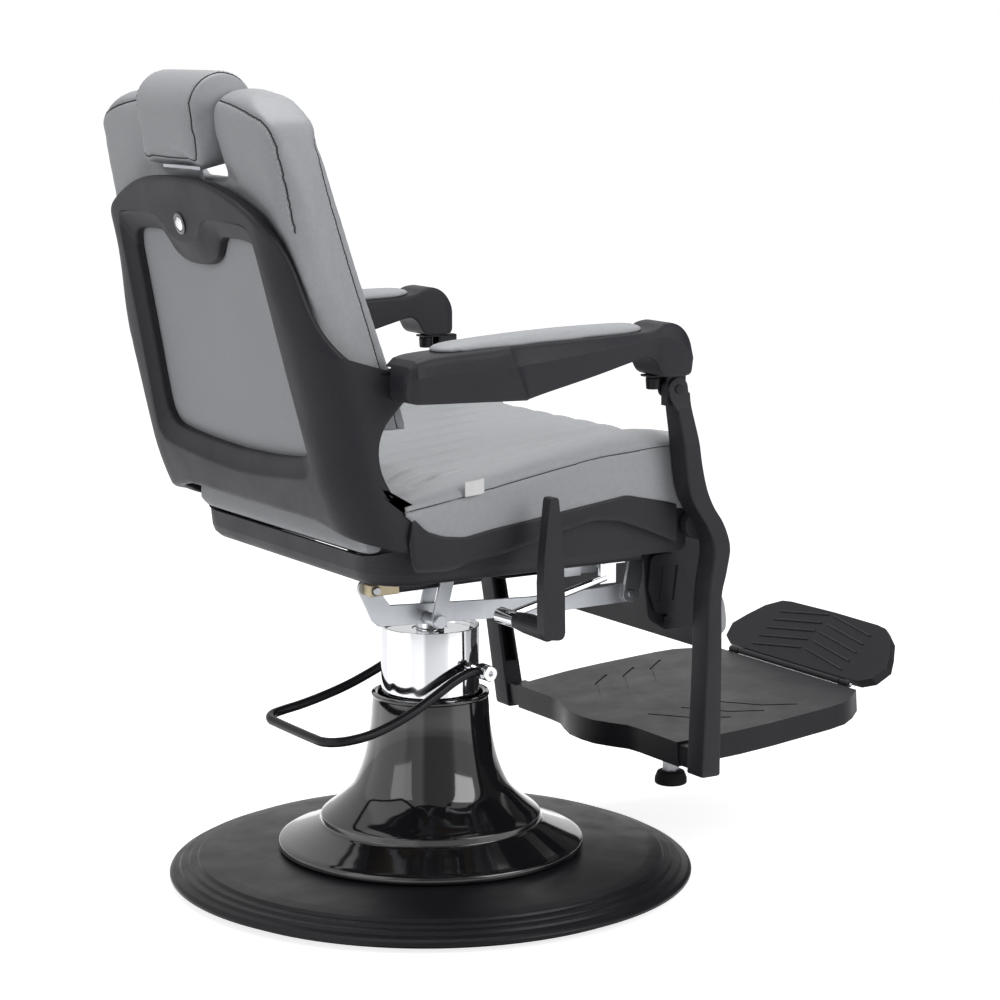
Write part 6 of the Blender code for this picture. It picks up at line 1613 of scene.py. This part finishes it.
rear_edge = [tuple(p) for p in smooth_line(POST_REAR, 6)]
front_edge = [tuple(p) for p in smooth_line(POST_FRONT, 6)]


def post_ring(z, side, shrink=0.0, start=0.0):
    """A section of a post; start is how deep from the inner side it begins."""
    y_rear, y_front = at_height(rear_edge, z) - shrink, at_height(front_edge, z) + shrink
    slim = 0.004 * min(1.0, max(0.0, (z - 0.60) / 0.055))
    lean = POST_LEAN * max(0.0, POST_KNEE_Z - z) / (POST_KNEE_Z - POST_FOOT_Z)
    inner, outer = POST_INNER + slim, POST_OUTER - slim - shrink
    if start:
        inner -= start
    corners = [(inner, y_front, 0.002), (outer, y_front, 0.0035), (outer, y_rear, 0.0035),
               (inner, y_rear, 0.002)]
    return [(side * (p.x - lean), p.y, z) for p in rounded_line(corners, count=4)]


heights = [POST_FOOT_Z + 0.0000, POST_FOOT_Z + 0.0008, POST_FOOT_Z + 0.0030]
heights += [POST_FOOT_Z + 0.003 + (0.668 - POST_FOOT_Z - 0.003) * k / 90 for k in range(1, 91)]
for side, word in SIDES:
    shell_rows = [post_ring(z, side, shrink) for z, shrink
                  in zip(heights, [0.0022, 0.0008] + [0.0] * len(heights))]
    post = object_of("post_%s_cast" % word, skin(shell_rows), 40)
    hollow_rows = [post_ring(z, side, 0.0042, start=0.010)
                   for z in [0.215 + (0.440 - 0.215) * k / 30 for k in range(31)]]
    hollow = skin(hollow_rows)
    for vert in hollow.verts:
        lean = POST_LEAN * max(0.0, POST_KNEE_Z - vert.co.z) / (POST_KNEE_Z - POST_FOOT_Z)
        deepest = POST_INNER + 0.020 - lean
        if abs(vert.co.x) > deepest:
            vert.co.x = side * deepest
    cut_out(post, hollow)
    round_head = Matrix.Translation((0, *PIVOT_FRONT)) @ Matrix.Rotation(math.pi / 2, 4, "Y")
    cut_out(post, lathe([(0, 0.2), (0.0150, 0.2), (0.0150, 0.4), (0, 0.4)]
                        if side > 0 else [(0, -0.4), (0.0150, -0.4), (0.0150, -0.2), (0, -0.2)],
                        64, place=round_head))
    post.data.set_sharp_from_angle(angle=math.radians(35))
    dress(post, PLASTIC, "leg_frame", "charcoal_plastic", "post_" + word)
    tongue = [(PIVOT_FRONT.x + 0.0112 * math.cos(a), PIVOT_FRONT.y + 0.0112 * math.sin(a))
              for a in (math.pi * k / 20 for k in range(21))]
    tongue += [(PIVOT_FRONT.x - 0.0112, 0.652), (PIVOT_FRONT.x + 0.0112, 0.652)]
    tongue_piece = object_of("post_tongue_" + word, slab(tongue, side * 0.2740, side * 0.2878), 40)
    crown = [(PIVOT_FRONT.x + 0.0150 * math.cos(a), PIVOT_FRONT.y + 0.0150 * math.sin(a))
             for a in (math.pi * k / 24 for k in range(25))]
    crown += [(-0.2075, 0.660), (-0.2110, 0.645), (-0.1890, 0.645), (-0.1790, 0.660)]
    cover = object_of("post_head_" + word, slab(crown, side * 0.2932, side * 0.2964), 40)
    soft_edges(cover, 0.0015, 2, 40)
    dress(cover, PLASTIC, "leg_frame", "charcoal_plastic")
    dress(tongue_piece, PLASTIC, "leg_frame", "charcoal_plastic", "post_" + word)
    boss_place = Matrix.Translation(POST_HINGE) @ Matrix.Rotation(side * math.pi / 2, 4, "Y")
    boss = rounded_line([(0, 0.2546), (0.0180, 0.2546, 0.0010), (0.0180, 0.2700), (0, 0.2700)],
                        closed=False, count=4)
    boss_piece = object_of("post_boss_" + word, lathe(boss, 48, place=boss_place), 40)
    dress(boss_piece, PLASTIC, "leg_frame", "charcoal_plastic", "post_" + word)
print("posts: %d sections each" % len(heights))

# %% [markdown]
# The flap of the footrest has raised bars in the shape of open arrows, for grip. A
# rubber foot on a steel stud hangs under the tread, so that it can't hit the base.

# %% Flap bars and stop foot
flap_tree = tree_of(("flip_plate",))
FLAP_LEAN = math.radians(40.2)
FLAP_HINGE_Y, FLAP_HINGE_Z = -0.60102, 0.21281
FIRST_BAR, BAR_PITCH, ARROW_LENGTH = 0.016, 0.0165, 0.016
STOP_Y = -0.394
flap_bars = []
for number in range(5):
    for side in (-1, 1):
        arrow = []
        for share in (0.0, 0.25, 0.5, 0.75, 1.0):
            across = side * (0.006 + 0.098 * share)
            away = FIRST_BAR + BAR_PITCH * number + ARROW_LENGTH * (1 - share)
            arrow.append((across, FLAP_HINGE_Y - away * math.cos(FLAP_LEAN),
                          FLAP_HINGE_Z + away * math.sin(FLAP_LEAN) + 0.004))
        flap_bars.append(bar([p for p, _ in surface_line(flap_tree, arrow, reach=0.02)], 0.0017, 8))
ribs = object_of("flip_bars", joined(*flap_bars), 50)
dress(ribs, FOOT_PLASTIC, "flip", "charcoal_plastic")
stem = rounded_line([(0, 0.1150), (0.0075, 0.1150), (0.0075, 0.1010), (0.0118, 0.1010, 0.001),
                     (0.0118, 0.0860, 0.001), (0, 0.0860)], closed=False, count=3)
below = Matrix.Translation((0, STOP_Y, 0))
dress(object_of("stop_stud", lathe(stem, 6, place=below), 20), ZINC, "leg_frame", "zinc_steel")
rubber = rounded_line([(0, 0.0862), (0.0190, 0.0862, 0.003), (0.0228, 0.0760, 0.003),
                       (0.0228, 0.0690, 0.002), (0.0200, 0.0672, 0.002), (0, 0.0672)],
                      closed=False, count=5)
dress(object_of("stop_foot_turned", lathe(rubber, 64, place=below), 40), RUBBER, "leg_frame",
      "black_rubber", "stop_foot")
print("flap bars:", len(flap_bars))

# %% [markdown]
# The last cell brings the scene up to date.

# %% Finish
bpy.context.view_layer.update()
